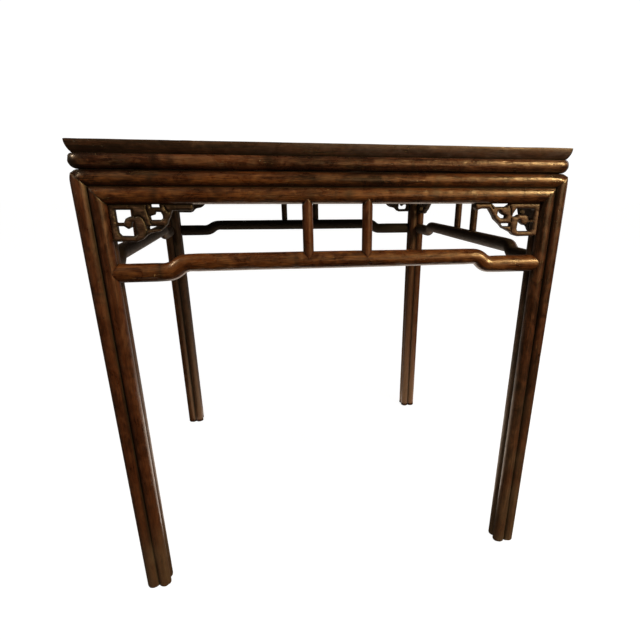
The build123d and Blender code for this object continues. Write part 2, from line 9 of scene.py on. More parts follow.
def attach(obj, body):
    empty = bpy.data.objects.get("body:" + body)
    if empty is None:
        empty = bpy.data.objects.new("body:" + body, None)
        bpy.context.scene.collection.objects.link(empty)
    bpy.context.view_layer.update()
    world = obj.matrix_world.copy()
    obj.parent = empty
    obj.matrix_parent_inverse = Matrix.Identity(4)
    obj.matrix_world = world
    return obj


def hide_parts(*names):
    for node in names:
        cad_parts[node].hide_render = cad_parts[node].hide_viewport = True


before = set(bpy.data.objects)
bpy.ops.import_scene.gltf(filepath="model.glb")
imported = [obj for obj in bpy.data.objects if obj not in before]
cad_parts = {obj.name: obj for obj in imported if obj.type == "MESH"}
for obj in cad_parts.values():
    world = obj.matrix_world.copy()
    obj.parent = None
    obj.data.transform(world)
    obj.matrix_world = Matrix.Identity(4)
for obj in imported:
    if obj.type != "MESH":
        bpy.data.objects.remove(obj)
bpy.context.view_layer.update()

scene = bpy.context.scene
MM = 0.001

# =============================================================== camera
# Stands a little left of the middle, at the height of the table top, and looks down to the right.
CAM = (-0.14982, -1.28040, 0.79913)
YAW, PITCH, ROLL = -0.1919, 0.38289, -0.00545
FOCAL, PX, PY, SIDE = 488.48382, 351.2145, 380.50428, 640.0


def rot_z(a, v):
    c, s = math.cos(a), math.sin(a)
    return Vector((c * v[0] - s * v[1], s * v[0] + c * v[1], v[2]))


fwd = rot_z(YAW, (0, math.cos(PITCH), -math.sin(PITCH)))
right = rot_z(YAW, (1, 0, 0))
down = fwd.cross(right)
r2 = math.cos(ROLL) * right + math.sin(ROLL) * down
d2 = -math.sin(ROLL) * right + math.cos(ROLL) * down
cam_data = bpy.data.cameras.new("camera")
cam = bpy.data.objects.new("camera", cam_data)
scene.collection.objects.link(cam)
cam.matrix_world = Matrix(
    (
        (r2.x, -d2.x, -fwd.x, CAM[0]),
        (r2.y, -d2.y, -fwd.y, CAM[1]),
        (r2.z, -d2.z, -fwd.z, CAM[2]),
        (0, 0, 0, 1),
    )
)
cam_data.sensor_width = 36.0
cam_data.lens = 36.0 * FOCAL / SIDE
cam_data.shift_x = (SIDE / 2 - PX) / SIDE
cam_data.shift_y = (PY - SIDE / 2) / SIDE
cam_data.clip_start, cam_data.clip_end = 0.05, 100.0
scene.camera = cam

# =============================================================== dimensions (mm), as in the CAD model
HALF, HEIGHT, TOP_HALF, EDGE, EDGE_INSET = 420.0, 860.0, 416.5, 19.5, 6.5
BEAD_H, BEAD_CREST, BEAD_NECK = 22.5, 10.2, 7.0
REED_1, REED_2, LEG, REED_R, SKIN = 24.0, 27.2, 48.0, 12.8, 20.0
Z_BEAD_TOP = HEIGHT - EDGE
Z_BEAD = Z_BEAD_TOP - BEAD_H
Z_REED = Z_BEAD - REED_1
Z_APRON = Z_REED - REED_2
Z_CORE = 832.0
AXIS = HALF - LEG / 2
LOBE = LEG / 2 - REED_R
INNER = HALF - LEG
CORE = HALF - SKIN
APRON_BACK = 392.0
CUSP = REED_R - math.sqrt(REED_R**2 - LOBE**2)
K2 = REED_2 / REED_1
REED2_Z = Z_REED - LOBE * K2
REED_TOP = math.degrees(math.asin(LOBE / REED_R))
RAIL_IN = TOP_HALF - 78.0
STRETCH_R, STRETCH_HI, STRETCH_LO, STRETCH_Y = 15.0, 674.2, 659.4, 404.5
STRUT_R, STRUT_Y = 9.2, 410.0
SPANDREL_FRONT, SPANDREL_BACK = 411.0, 397.0
SPANDREL_U, SPANDREL_V = 373.0, 767.5
SIDES = ("front", "right", "back", "left")
STRUTS = {"front": (-57.5, 46.2), "right": (-41.0, 62.5), "back": (-56.0, 46.0), "left": (-62.0, 41.5)}
HUMPS = {
    "front": (-300.0, -257.0, 250.0, 286.0),
    "right": (-281.0, -245.0, 252.0, 289.0),
    "back": (-270.0, -233.0, 254.0, 299.0),
    "left": (-290.0, -251.0, 251.0, 290.0),
}


# =============================================================== noise
def _lattice(ix, iy, iz, seed):
    h = (
        ix.astype(np.uint64) * np.uint64(73856093)
        ^ iy.astype(np.uint64) * np.uint64(19349663)
        ^ iz.astype(np.uint64) * np.uint64(83492791)
        ^ np.uint64((seed * 2654435761 + 97) & 0xFFFFFFFF)
    ) & np.uint64(0xFFFFFFFF)
    h = (h ^ (h >> np.uint64(15))) * np.uint64(2246822519) & np.uint64(0xFFFFFFFF)
    h = (h ^ (h >> np.uint64(13))) * np.uint64(3266489917) & np.uint64(0xFFFFFFFF)
    h = h ^ (h >> np.uint64(16))
    return (h & np.uint64(0xFFFF)).astype(np.float64) / 32767.5 - 1.0


def noise(x, y, z, seed=0):
    """Smooth value noise, from -1 to 1, with one feature per unit."""
    x, y, z = np.broadcast_arrays(x, y, z)
    fx, fy, fz = np.floor(x), np.floor(y), np.floor(z)
    ux, uy, uz = x - fx, y - fy, z - fz
    ux, uy, uz = (u * u * u * (u * (u * 6 - 15) + 10) for u in (ux, uy, uz))
    ix, iy, iz = (f.astype(np.int64) + 100000 for f in (fx, fy, fz))
    total = 0.0
    for dx in (0, 1):
        wx = ux if dx else 1 - ux
        for dy in (0, 1):
            wy = uy if dy else 1 - uy
            for dz in (0, 1):
                wz = uz if dz else 1 - uz
                total = total + wx * wy * wz * _lattice(ix + dx, iy + dy, iz + dz, seed)
    return total


def smooth(lo, hi, v):
    t = np.clip((v - lo) / (hi - lo), 0, 1)
    return t * t * (3 - 2 * t)


# =============================================================== outlines
def arc(ca, cb, ra, rb, a0, a1, step=1.2):
    n = max(3, int(math.ceil(math.radians(abs(a1 - a0)) * max(ra, rb) / step)))
    return [
        (ca + ra * math.cos(math.radians(a)), cb + rb * math.sin(math.radians(a)))
        for a in np.linspace(a0, a1, n + 1)
    ]


def outline(nodes, step=3.0):
    """A closed outline from points (a, b), rounded corners (a, b, radius) and arcs (lists of points)."""
    flat = []
    for n in nodes:
        if isinstance(n, list):
            flat += [(p[0], p[1], 0.0) for p in n]
        else:
            flat.append((n[0], n[1], n[2] if len(n) > 2 else 0.0))
    out = []
    count = len(flat)
    for i, (a, b, r) in enumerate(flat):
        if r <= 0:
            out.append((a, b))
            continue
        p, q, s = np.array(flat[i - 1][:2]), np.array((a, b)), np.array(flat[(i + 1) % count][:2])
        u, v = (p - q) / np.linalg.norm(p - q), (s - q) / np.linalg.norm(s - q)
        half = math.acos(max(-1, min(1, float(u @ v)))) / 2
        reach = min(r / math.tan(half), 0.48 * np.linalg.norm(p - q), 0.48 * np.linalg.norm(s - q))
        r = reach * math.tan(half)
        centre = q + (u + v) / np.linalg.norm(u + v) * (r / math.sin(half))
        for f in np.linspace(0, 1, 5):
            start, end = q + u * reach - centre, q + v * reach - centre
            w = (1 - f) * start + f * end
            out.append(tuple(centre + w / np.linalg.norm(w) * r))
    made = []
    for i, p in enumerate(out):
        q = out[(i + 1) % len(out)]
        d = math.hypot(q[0] - p[0], q[1] - p[1])
        if d < 0.02:
            continue
        n = max(1, int(math.ceil(d / step)))
        made += [(p[0] + (q[0] - p[0]) * k / n, p[1] + (q[1] - p[1]) * k / n) for k in range(n)]
    made = np.array(made)
    area = 0.5 * np.sum(made[:, 0] * np.roll(made[:, 1], -1) - np.roll(made[:, 0], -1) * made[:, 1])
    return made if area > 0 else made[::-1].copy()


def section_normals(pts):
    d = np.roll(pts, -1, 0) - np.roll(pts, 1, 0)
    n = np.stack([d[:, 1], -d[:, 0]], 1)
    return n / np.maximum(np.linalg.norm(n, axis=1, keepdims=True), 1e-9)


def near(pts, spots, reach):
    """1 at any of the spots of the section, falling off over reach."""
    m = np.zeros(len(pts))
    for s in spots:
        d = np.hypot(pts[:, 0] - s[0], pts[:, 1] - s[1])
        m = np.maximum(m, np.exp(-((d / reach) ** 1.4)))
    return m


# =============================================================== meshes
NEAR = np.array([0.0, 0.7, 1.6, 3.0, 5.0, 7.6, 11.0, 15.0, 19.5, 24.5, 30.0]) / 34.0


def rows(t0, t1, step, margin=34.0):
    """Places along each column of a swept piece: even in the middle, closer together towards both ends."""
    lo, hi = t0.max() + margin, t1.min() - margin
    n = max(2, int(round((hi - lo) / step)))
    head = t0[None, :] + (lo - t0[None, :]) * NEAR[:, None]
    mid = np.linspace(lo, hi, n)[:, None] * np.ones_like(t0)[None, :]
    tail = t1[None, :] + (hi - t1[None, :]) * NEAR[::-1, None]
    return np.concatenate([head, mid, tail])


def build(name, co, quads, caps, fields, node, material, grain):
    """A piece from its corner points in mm. fields and grain are per point."""
    mesh = bpy.data.meshes.new(name)
    co = np.asarray(co, float)
    tri = np.asarray(quads, np.int64)
    per = tri.shape[1]
    loops = [tri.ravel()]
    starts = [np.arange(len(tri)) * per]
    totals = [np.full(len(tri), per)]
    at = tri.size
    for c in caps:
        loops.append(np.asarray(c, np.int64))
        starts.append(np.array([at]))
        totals.append(np.array([len(c)]))
        at += len(c)
    loops, starts, totals = (np.concatenate(v).astype(np.int32) for v in (loops, starts, totals))
    mesh.vertices.add(len(co))
    mesh.vertices.foreach_set("co", (co * MM).astype(np.float32).ravel())
    mesh.loops.add(len(loops))
    mesh.loops.foreach_set("vertex_index", loops)
    mesh.polygons.add(len(starts))
    mesh.polygons.foreach_set("loop_start", starts)
    mesh.polygons.foreach_set("loop_total", totals)
    mesh.update(calc_edges=True)
    mesh.validate()
    # closed and outward
    p = co * MM
    v0, v1, v2 = p[tri[:, 0]], p[tri[:, 1]], p[tri[:, 2]]
    volume = np.einsum("ij,ij->i", v0, np.cross(v1, v2)).sum()
    if per == 4:
        v3 = p[tri[:, 3]]
        volume += np.einsum("ij,ij->i", v0, np.cross(v2, v3)).sum()
    for c in caps:
        q = p[np.asarray(c)]
        m = q.mean(0)
        volume += np.einsum("ij,ij->i", np.broadcast_to(m, q.shape), np.cross(q, np.roll(q, -1, 0))).sum()
    if volume < 0:
        mesh.flip_normals()
    mesh.polygons.foreach_set("use_smooth", np.ones(len(mesh.polygons), bool))
    mesh.set_sharp_from_angle(angle=math.radians(42))
    for key, values in fields.items():
        a = mesh.attributes.new(key, "FLOAT", "POINT")
        a.data.foreach_set("value", np.asarray(values, np.float32).ravel())
    a = mesh.attributes.new("grain", "FLOAT_VECTOR", "POINT")
    a.data.foreach_set("vector", (np.asarray(grain) * MM).astype(np.float32).ravel())
    mesh.materials.append(material)
    obj = bpy.data.objects.new(name, mesh)
    scene.collection.objects.link(obj)
    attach(obj, "root")
    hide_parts(node)
    return obj


def worn_corners(p):
    """Rounds off the outer corners where a leg and two aprons meet; all three pieces move together."""
    x, y, z = p[..., 0], p[..., 1], p[..., 2]
    for a, b, wx, wy in ((420.0, 409.0, 0.62, 0.30), (409.0, 420.0, 0.30, 0.62)):
        d2 = (np.abs(x) - a) ** 2 + ((np.abs(y) - b) / 1.3) ** 2 + ((z - 817.0) / 1.45) ** 2
        w = 4.0 * np.exp(-d2 / 36.0) * (z < 818.5)
        x, y, z = x - np.sign(x) * wx * w, y - np.sign(y) * wy * w, z - 0.72 * w
    return np.stack([x, y, z], -1)


def turned(p, k):
    c, s = ((1, 0), (0, 1), (-1, 0), (0, -1))[k % 4]
    return np.stack([c * p[..., 0] - s * p[..., 1], s * p[..., 0] + c * p[..., 1], p[..., 2]], -1)


def sweep(
    name, node, material, pts, t0, t1, place, k=0, step=4.0, seed=0,
    groove=(), groove_reach=2.2, inside=None, crown=None, wave=0.32, dent=0.35, seam=0.3,
    extra=None, tone_and_light=0.0, margin=34.0, end_dirt=1.0, t_map=None, flank=0.0, marks=(),
    corners=False, film_and_sheen=None,
):
    """Sweeps a section along one of the table's pieces, with the unevenness of hand planing and of use."""
    nrm = section_normals(pts)
    t0, t1 = np.broadcast_to(t0, len(pts)).astype(float), np.broadcast_to(t1, len(pts)).astype(float)
    T = rows(t0, t1, step, margin)
    if t_map is not None:
        T = t_map(T)
    A = np.broadcast_to(pts[:, 0], T.shape).copy()
    B = np.broadcast_to(pts[:, 1], T.shape).copy()
    gr = near(pts, groove, groove_reach) if len(groove) else np.zeros(len(pts))
    # inside marks the inner, back and under faces; the material paints shade on them
    ins = np.zeros(len(pts)) if inside is None else inside(pts)
    cr = np.full(len(pts), 0.5) if crown is None else crown(pts)
    end = np.minimum(T - T[0], T[-1] - T)
    # unevenness, always inwards
    off = seed * 37.3
    w = 0.5 + 0.5 * noise(T / 105 + off, A / 30, B / 30, seed)
    w2 = 0.5 + 0.5 * noise(T / 33 + off, A / 9, B / 9, seed + 1)
    w3 = 0.5 + 0.5 * noise(T / 9 + off, A / 5, B / 5, seed + 2)
    d = wave * (0.62 * w + 0.28 * w2 + 0.10 * w3)
    n1 = noise(T / 11 + off, A / 5.5, B / 5.5, seed + 3)
    n2 = noise(T / 70 + off, A / 25, B / 25, seed + 4)
    d = d + dent * smooth(0.55, 0.85, n1 + 0.25 * n2) * (0.35 + 0.65 * cr)
    d = d * (1 - 0.75 * gr)
    d = d + seam * np.exp(-((end / 0.9) ** 2))
    if extra is not None:
        d = d + extra(T, A, B, end)
    grain = np.stack([T + seed * 911.0, A + seed * 57.0, B], -1)
    A2, B2 = A - d * nrm[:, 0], B - d * nrm[:, 1]
    co = turned(place(T, A2, B2), k)
    if corners:
        co = worn_corners(co)
    R, M = T.shape
    idx = np.arange(R * M).reshape(R, M)
    a, b = idx[:-1], idx[1:]
    quads = np.stack([a, b, np.roll(b, -1, 1), np.roll(a, -1, 1)], -1).reshape(-1, 4)
    dirt_and_shade = np.clip(np.maximum(gr, end_dirt * 0.85 * np.exp(-((end / 2.2) ** 1.3))), 0, 1)
    # flank paints shade on the sides of a piece, away from its crown
    shade = flank * (1 - cr) * np.ones_like(T)
    for at, width, deep, where in marks:
        ragged = 1 + 0.5 * noise(T / 6, A / 4 + at, B / 4, seed + 5)
        side = 1.0 if where is None else np.exp(-((np.hypot(A - where[0], B - where[1]) / where[2]) ** 2))
        shade = np.maximum(shade, deep * side * np.exp(-((np.abs(T - at) / (width * ragged)) ** 1.7)))
    fields = {
        "groove": dirt_and_shade,
        "crown": np.broadcast_to(cr, T.shape),
        "inside": np.broadcast_to(ins, T.shape),
        "tone_and_light": tone_and_light(T, A, B) if callable(tone_and_light) else np.full(T.shape, tone_and_light),
        "shade": np.clip(shade, 0, 1),
    }
    if film_and_sheen is not None:
        fields["film_and_sheen"] = film_and_sheen(T, A, B)
    return build(
        name, co.reshape(-1, 3), quads, [idx[0][::-1], idx[-1]], fields, node, material, grain.reshape(-1, 3)
    )


# =============================================================== materials
class Tree:
    """A small helper for writing a material's nodes."""

    def __init__(self, name):
        self.mat = bpy.data.materials.new(name)
        self.mat.use_nodes = True
        self.nt = self.mat.node_tree
        self.nt.nodes.clear()

    def node(self, kind, ins=(), **props):
        n = self.nt.nodes.new(kind)
        for k, v in props.items():
            setattr(n, k, v)
        for key, v in dict(ins).items():
            if isinstance(v, bpy.types.NodeSocket):
                self.nt.links.new(v, n.inputs[key])
            else:
                n.inputs[key].default_value = v
        return n

    def attr(self, name, vector=False):
        n = self.node("ShaderNodeAttribute", attribute_name=name)
        return n.outputs["Vector" if vector else "Fac"]

    def math(self, op, a, b=0.0, clamp=False):
        return self.node("ShaderNodeMath", {0: a, 1: b}, operation=op, use_clamp=clamp).outputs[0]

    def scale(self, v, s):
        return self.node("ShaderNodeVectorMath", {0: v, 1: s}, operation="MULTIPLY").outputs[0]

    def add(self, v, w):
        return self.node("ShaderNodeVectorMath", {0: v, 1: w}, operation="ADD").outputs[0]

    def noise(self, v, scale=1.0, detail=3.0, rough=0.55, distortion=0.0):
        return self.node(
            "ShaderNodeTexNoise",
            {"Vector": v, "Scale": scale, "Detail": detail, "Roughness": rough, "Distortion": distortion},
        ).outputs["Fac"]

    def voronoi(self, v, scale=1.0, feature="F1", rand=1.0):
        return self.node(
            "ShaderNodeTexVoronoi", {"Vector": v, "Scale": scale, "Randomness": rand}, feature=feature
        ).outputs["Distance"]

    def step(self, v, lo, hi, to0=0.0, to1=1.0):
        n = self.node(
            "ShaderNodeMapRange",
            {"Value": v, "From Min": lo, "From Max": hi, "To Min": to0, "To Max": to1},
            interpolation_type="SMOOTHSTEP",
        )
        return n.outputs["Result"]

    def lerp(self, v, lo, hi, to0=0.0, to1=1.0):
        n = self.node(
            "ShaderNodeMapRange",
            {"Value": v, "From Min": lo, "From Max": hi, "To Min": to0, "To Max": to1},
            interpolation_type="LINEAR",
        )
        return n.outputs["Result"]

    def mix(self, fac, a, b, blend="MIX"):
        n = self.node("ShaderNodeMix", {"Factor": fac}, data_type="RGBA", blend_type=blend)
        for i, v in ((6, a), (7, b)):
            if isinstance(v, bpy.types.NodeSocket):
                self.nt.links.new(v, n.inputs[i])
            else:
                n.inputs[i].default_value = (*v, 1.0)
        return n.outputs[2]

    def bump(self, height, strength, distance, normal=None):
        ins = {"Height": height, "Strength": strength, "Distance": distance}
        if normal is not None:
            ins["Normal"] = normal
        return self.node("ShaderNodeBump", ins).outputs["Normal"]


def rgb(r, g, b):
    """From display values 0 to 255 to linear light."""
    return tuple((v / 255 / 12.92) if v / 255 <= 0.04045 else ((v / 255 + 0.055) / 1.055) ** 2.4 for v in (r, g, b))


def lacquered(
    name, deep, body, warm, rub, black=(13, 8, 5), rub_at=0.60, smudge=0.5, gloss=0.27, coords="grain",
    streak=1.0, pits=1.0, coat=0.04, film=0.0, spec_tint=(1.0, 0.69, 0.37), inside_shade=0.8, bumps=1.0, spec=0.5,
    grey_film=None, film_tone=(82, 66, 56), film_mask=None,
):
    """Old oil-and-lacquer finish over close-grained wood. deep, body, warm and rub run from the shaded to the rubbed
    colour.
    """
    t = Tree(name)
    if coords == "grain":
        g = t.attr("grain", vector=True)
        groove, crown = t.attr("groove"), t.attr("crown")
        inside, tone_and_light, shade = t.attr("inside"), t.attr("tone_and_light"), t.attr("shade")
    else:
        g = t.node("ShaderNodeTexCoord").outputs["Object"]
        groove = crown = inside = tone_and_light = shade = 0.0
    # patches of thinner and thicker finish, some decimetres long
    broad = t.noise(t.scale(g, (6.5, 20.0, 20.0)), 1.0, 3.0, 0.6, 0.4)
    patch = t.noise(t.scale(g, (38.0, 62.0, 62.0)), 1.0, 4.0, 0.62, 0.7)
    # figure of the wood: long streaks and fine pores
    figure = t.noise(t.scale(g, (9.0, 230.0, 230.0)), 1.0, 4.0, 0.64, 0.8)
    fibre = t.noise(t.scale(g, (46.0, 1150.0, 1150.0)), 1.0, 3.0, 0.6)
    # soft dark smudges, and a few faint bands across the piece, broken up
    marks = t.noise(t.scale(g, (60.0, 52.0, 52.0)), 1.0, 4.0, 0.62, 1.4)
    marks = t.step(t.math("ADD", marks, t.math("MULTIPLY", t.math("SUBTRACT", broad, 0.5), 0.55)), 0.56, 0.76)
    band = t.noise(t.scale(g, (34.0, 9.0, 9.0)), 1.0, 2.0, 0.5, 0.8)
    band = t.step(t.math("ADD", band, t.math("MULTIPLY", t.math("SUBTRACT", patch, 0.5), 0.35)), 0.60, 0.80)
    marks = t.math("MAXIMUM", marks, t.math("MULTIPLY", band, 0.8))
    specks = t.voronoi(t.scale(g, (120.0, 190.0, 190.0)), 1.0)
    specks_on = t.noise(t.scale(g, (30.0, 40.0, 40.0)), 1.0, 2.0, 0.5)
    speck = t.math("MULTIPLY", t.step(specks, 0.22, 0.10), t.step(specks_on, 0.50, 0.64))
    # fine shrinkage checks along the grain
    lines = t.noise(t.scale(g, (5.0, 330.0, 330.0)), 1.0, 2.0, 0.5, 0.25)
    lines = t.step(t.math("ABSOLUTE", t.math("SUBTRACT", lines, 0.5)), 0.012, 0.002)
    lines_on = t.step(t.noise(t.scale(g, (14.0, 60.0, 60.0)), 1.0, 2.0, 0.5), 0.56, 0.66)
    checks = t.math("MULTIPLY", lines, lines_on)

    amount = t.math("ADD", t.math("MULTIPLY", broad, 0.60), t.math("MULTIPLY", patch, 0.40))
    amount = t.math("ADD", amount, t.math("MULTIPLY", t.math("SUBTRACT", figure, 0.5), 0.60 * streak))
    # the colour offset adds random colour and, on some pieces, painted light and shade
    amount = t.math("ADD", amount, tone_and_light)
    amount = t.math("ADD", amount, t.math("MULTIPLY", t.math("SUBTRACT", crown, 0.5), 0.12))
    col = t.mix(t.step(amount, 0.30, 0.54), rgb(*deep), rgb(*body))
    col = t.mix(t.step(amount, 0.47, 0.70), col, rgb(*warm))
    # rubbed places, where the finish is thin on the crowns
    rubbed = t.math("ADD", t.math("MULTIPLY", patch, 0.6), t.math("MULTIPLY", crown, 0.28))
    rubbed = t.math("ADD", rubbed, t.math("MULTIPLY", t.math("SUBTRACT", fibre, 0.5), 0.30))
    rubbed = t.math("SUBTRACT", rubbed, t.math("MULTIPLY", groove, 0.5))
    rubbed = t.step(rubbed, rub_at - 0.06, rub_at + 0.10)
    col = t.mix(t.math("MULTIPLY", rubbed, 0.50), col, rgb(*rub))
    col = t.mix(t.math("MULTIPLY", t.step(fibre, 0.60, 0.36), 0.40 * streak), col, rgb(*black))
    # on the front top rail the film's mask grows towards the right end, as a painted reflection
    if film:  # a grey film of old wax and dust
        amount = t.math("MULTIPLY", t.step(patch, 0.36, 0.66, 0.25, 1.0), film)
        if film_mask is not None:
            amount = t.math("MULTIPLY", amount, t.attr(film_mask))
        col = t.mix(amount, col, rgb(*film_tone))
    col = t.mix(t.math("MULTIPLY", marks, smudge), col, rgb(*black))
    col = t.mix(t.math("MULTIPLY", speck, 0.75 * pits), col, rgb(*black))
    col = t.mix(t.math("MULTIPLY", checks, 0.85), col, rgb(6, 4, 3))
    # painted shade on the flanks and on the strand edges and opening walls of the scrolls, and dark smudges
    col = t.mix(t.math("MULTIPLY", shade, t.step(patch, 0.15, 0.6, 0.75, 1.0), clamp=True), col, rgb(15, 8, 5))
    # old grime and lacquer gathered in the grooves and joints; where the groove mask reaches wide, as on the legs, it
    # is also painted shade over the flanks
    dirt_and_shade = t.math("ADD", groove, t.math("MULTIPLY", t.math("SUBTRACT", patch, 0.5), 0.5))
    dirt_and_shade = t.step(dirt_and_shade, 0.20, 0.72)
    col = t.mix(t.math("MULTIPLY", dirt_and_shade, 0.94), col, rgb(7, 5, 4))
    film_and_sheen = 0.0
    if grey_film is not None:  # a lighter, greyer film towards the feet
        film_and_sheen = t.math("MULTIPLY", t.attr("film_and_sheen"), t.step(patch, 0.15, 0.6, 0.7, 1.0))
        film_and_sheen = t.math("MULTIPLY", film_and_sheen, t.math("SUBTRACT", 1.0, t.math("MULTIPLY", dirt_and_shade, 0.15)), clamp=True)
        col = t.mix(film_and_sheen, col, t.mix(t.step(figure, 0.35, 0.65), rgb(*[0.8 * v for v in grey_film]), rgb(*grey_film)))
    # painted shade on the inner, back and under faces, which are also made rougher
    dull_and_shaded = t.math("MULTIPLY", inside, t.step(patch, 0.10, 0.55, 0.7, 1.0), clamp=True)
    col = t.mix(t.math("MULTIPLY", dull_and_shaded, inside_shade), col, t.mix(figure, rgb(15, 14, 13), rgb(44, 38, 32)))

    rough = t.lerp(patch, 0.3, 0.7, gloss - 0.05, gloss + 0.12)
    rough = t.math("ADD", rough, t.math("MULTIPLY", t.math("SUBTRACT", fibre, 0.5), 0.16))
    rough = t.math("ADD", rough, t.math("MULTIPLY", t.math("ADD", t.math("ADD", dirt_and_shade, dull_and_shaded), film_and_sheen), 0.26))
    rough = t.math("ADD", rough, t.math("MULTIPLY", t.math("MAXIMUM", marks, shade), 0.08), clamp=True)

    n = t.bump(t.noise(t.scale(g, (52.0, 85.0, 85.0)), 1.0, 3.0, 0.55, 0.4), 0.60 * bumps, 0.0012)
    n = t.bump(t.math("SUBTRACT", 1.0, t.math("MAXIMUM", speck, checks)), 0.65 * pits, 0.0007, n)
    n = t.bump(fibre, 0.30 * bumps, 0.00022, n)
    n = t.bump(t.noise(t.scale(g, (430.0, 620.0, 620.0)), 1.0, 2.0, 0.5), 0.22 * bumps, 0.00018, n)

    bsdf = t.node("ShaderNodeBsdfPrincipled", {"Base Color": col, "Roughness": rough, "Normal": n})
    bsdf.inputs["IOR"].default_value = 1.50
    bsdf.inputs["Specular IOR Level"].default_value = spec
    bsdf.inputs["Specular Tint"].default_value = (*spec_tint, 1.0)
    bsdf.inputs["Coat Weight"].default_value = coat
    bsdf.inputs["Coat Roughness"].default_value = 0.22
    bsdf.inputs["Coat IOR"].default_value = 1.5
    bsdf.inputs["Coat Tint"].default_value = (1.0, 0.93, 0.82, 1.0)
    out = t.node("ShaderNodeOutputMaterial")
    t.nt.links.new(bsdf.outputs[0], out.inputs[0])
    return t.mat


frame_wood = lacquered(
    "lacquered_frame_wood", (32, 12, 5), (75, 36, 14), (109, 58, 22), (139, 85, 41), streak=1.35,
)
edge_wood = lacquered(
    "lacquered_edge_wood", (34, 15, 7), (65, 33, 15), (94, 54, 27), (120, 80, 48), film=0.50, gloss=0.44, smudge=0.5, streak=1.3,
    film_tone=(87, 76, 72), film_mask="film_and_sheen",
    spec=0.42,
)
bead_wood = lacquered(
    "lacquered_bead_wood", (32, 12, 6), (76, 37, 17), (108, 61, 31), (138, 92, 54), film=0.10, pits=1.4, streak=1.3,
    gloss=0.25, spec=0.45,
)
shade_wood = lacquered(  # a darker, duller copy of the finish: painted shade on the back stretcher
    "lacquered_shade_wood", (24, 13, 8), (46, 28, 17), (66, 42, 26), (88, 62, 40), gloss=0.50, coat=0.0, spec=0.18,
)
leg_wood = lacquered(
    "lacquered_leg_wood", (32, 13, 6), (68, 31, 13), (93, 46, 20), (114, 66, 37), smudge=0.5, gloss=0.30,
    grey_film=(112, 89, 62),
)
scroll_wood = lacquered(
    "lacquered_scroll_wood", (32, 18, 11), (65, 38, 24), (97, 62, 42), (134, 98, 74), rub_at=0.60, film=0.12,
    gloss=0.47, coat=0.02, spec=0.40, pits=0.6, smudge=0.35,
)
panel_wood = lacquered(
    "lacquered_panel_wood", (34, 17, 9), (68, 35, 16), (98, 54, 24), (124, 80, 46), rub_at=0.58, smudge=0.35,
    gloss=0.40,
)
plain_wood = lacquered(
    "plain_under_wood", (30, 22, 15), (58, 43, 29), (82, 62, 41), (98, 78, 55), gloss=0.62, coat=0.0, pits=0.7,
    smudge=0.35,
)
peg_wood = lacquered(
    "peg_wood", (44, 28, 16), (74, 48, 28), (96, 66, 40), (112, 82, 52), gloss=0.6, coat=0.0, coords="object",
)

# =============================================================== legs
lobe_arc = []
for cx, cy, mid in ((1, 1, 45), (-1, 1, 135), (-1, -1, 225), (1, -1, 315)):
    half = 45 + REED_TOP
    lobe_arc.append(arc(cx * LOBE, cy * LOBE, REED_R, REED_R, mid - half, mid + half, 1.15))
leg_section = outline(lobe_arc, step=3.0)
leg_cusps = [(0, HALF - CUSP - AXIS), (0, -(HALF - CUSP - AXIS)), (HALF - CUSP - AXIS, 0), (-(HALF - CUSP - AXIS), 0)]


def mitre_z(v):
    """Height of the mitre above a point of the leg, v its distance from the table centre along the apron."""
    return np.where(v >= AXIS, Z_REED + (v - AXIS), Z_APRON + (v - INNER) * (REED_2 / REED_1))


def leg_top(pts):
    x, y = AXIS - pts[:, 0], AXIS - pts[:, 1]  # distances from the centre, for the front left leg
    top = np.full(len(pts), Z_CORE)
    top = np.where(y > CORE, np.minimum(top, mitre_z(x)), top)
    return np.where(x > CORE, np.minimum(top, mitre_z(y)), top)


def leg_extra(seed):
    def extra(T, A, B, end):
        r = 3.4 + 1.2 * noise(A / 14, B / 14, seed, seed)
        z = np.clip(T, 0, r)
        foot = r - np.sqrt(np.maximum(r * r - (r - z) ** 2, 0))
        scuff = 0.9 * smooth(26, 0, T) * smooth(0.1, 0.7, noise(T / 9, A / 7, B / 7, seed + 9))
        return foot + scuff
    return extra


LEGS = ("front_left_leg", "front_right_leg", "back_right_leg", "back_left_leg")
# node-like marks round a reed: height, half width, strength, (place in the section, reach)
LEG_MARKS = (
    [(628, 3.0, 0.95, (-12, -16, 13)), (540, 6, 0.5, (12, -14, 12)), (700, 5, 0.6, (-12, -16, 12)),
     (352, 5, 0.5, (-12, -16, 13)), (205, 6, 0.55, (12, -16, 12)), (96, 7, 0.5, (-12, -16, 13))],
    [(585, 5, 0.6, (-16, -12, 13)), (402, 6, 0.5, (-16, 12, 13)), (690, 6, 0.5, (-16, 12, 12)),
     (180, 7, 0.55, (-16, -12, 13))],
    [(560, 5, 0.5, (12, 16, 14)), (330, 7, 0.5, (-12, 16, 14))],
    [(600, 6, 0.6, (14, 14, 14)), (300, 6, 0.5, (14, -14, 14))],
)


# how strong the grey film is on each leg, strongest at the feet
def leg_grey_film(k):
    top, low, full = ((320.0, 0.20, 0.80), (560.0, 0.42, 0.74), (260.0, 0.14, 0.40), (320.0, 0.12, 0.28))[k]

    def film_and_sheen(T, A, B):
        uneven = 0.75 + 0.5 * noise(T / 45, A / 30, B / 30, 90 + k)
        return np.clip((low * smooth(top, 0.35 * top, T) + (full - low) * smooth(190, 25, T)) * uneven, 0, 0.8)
    return film_and_sheen


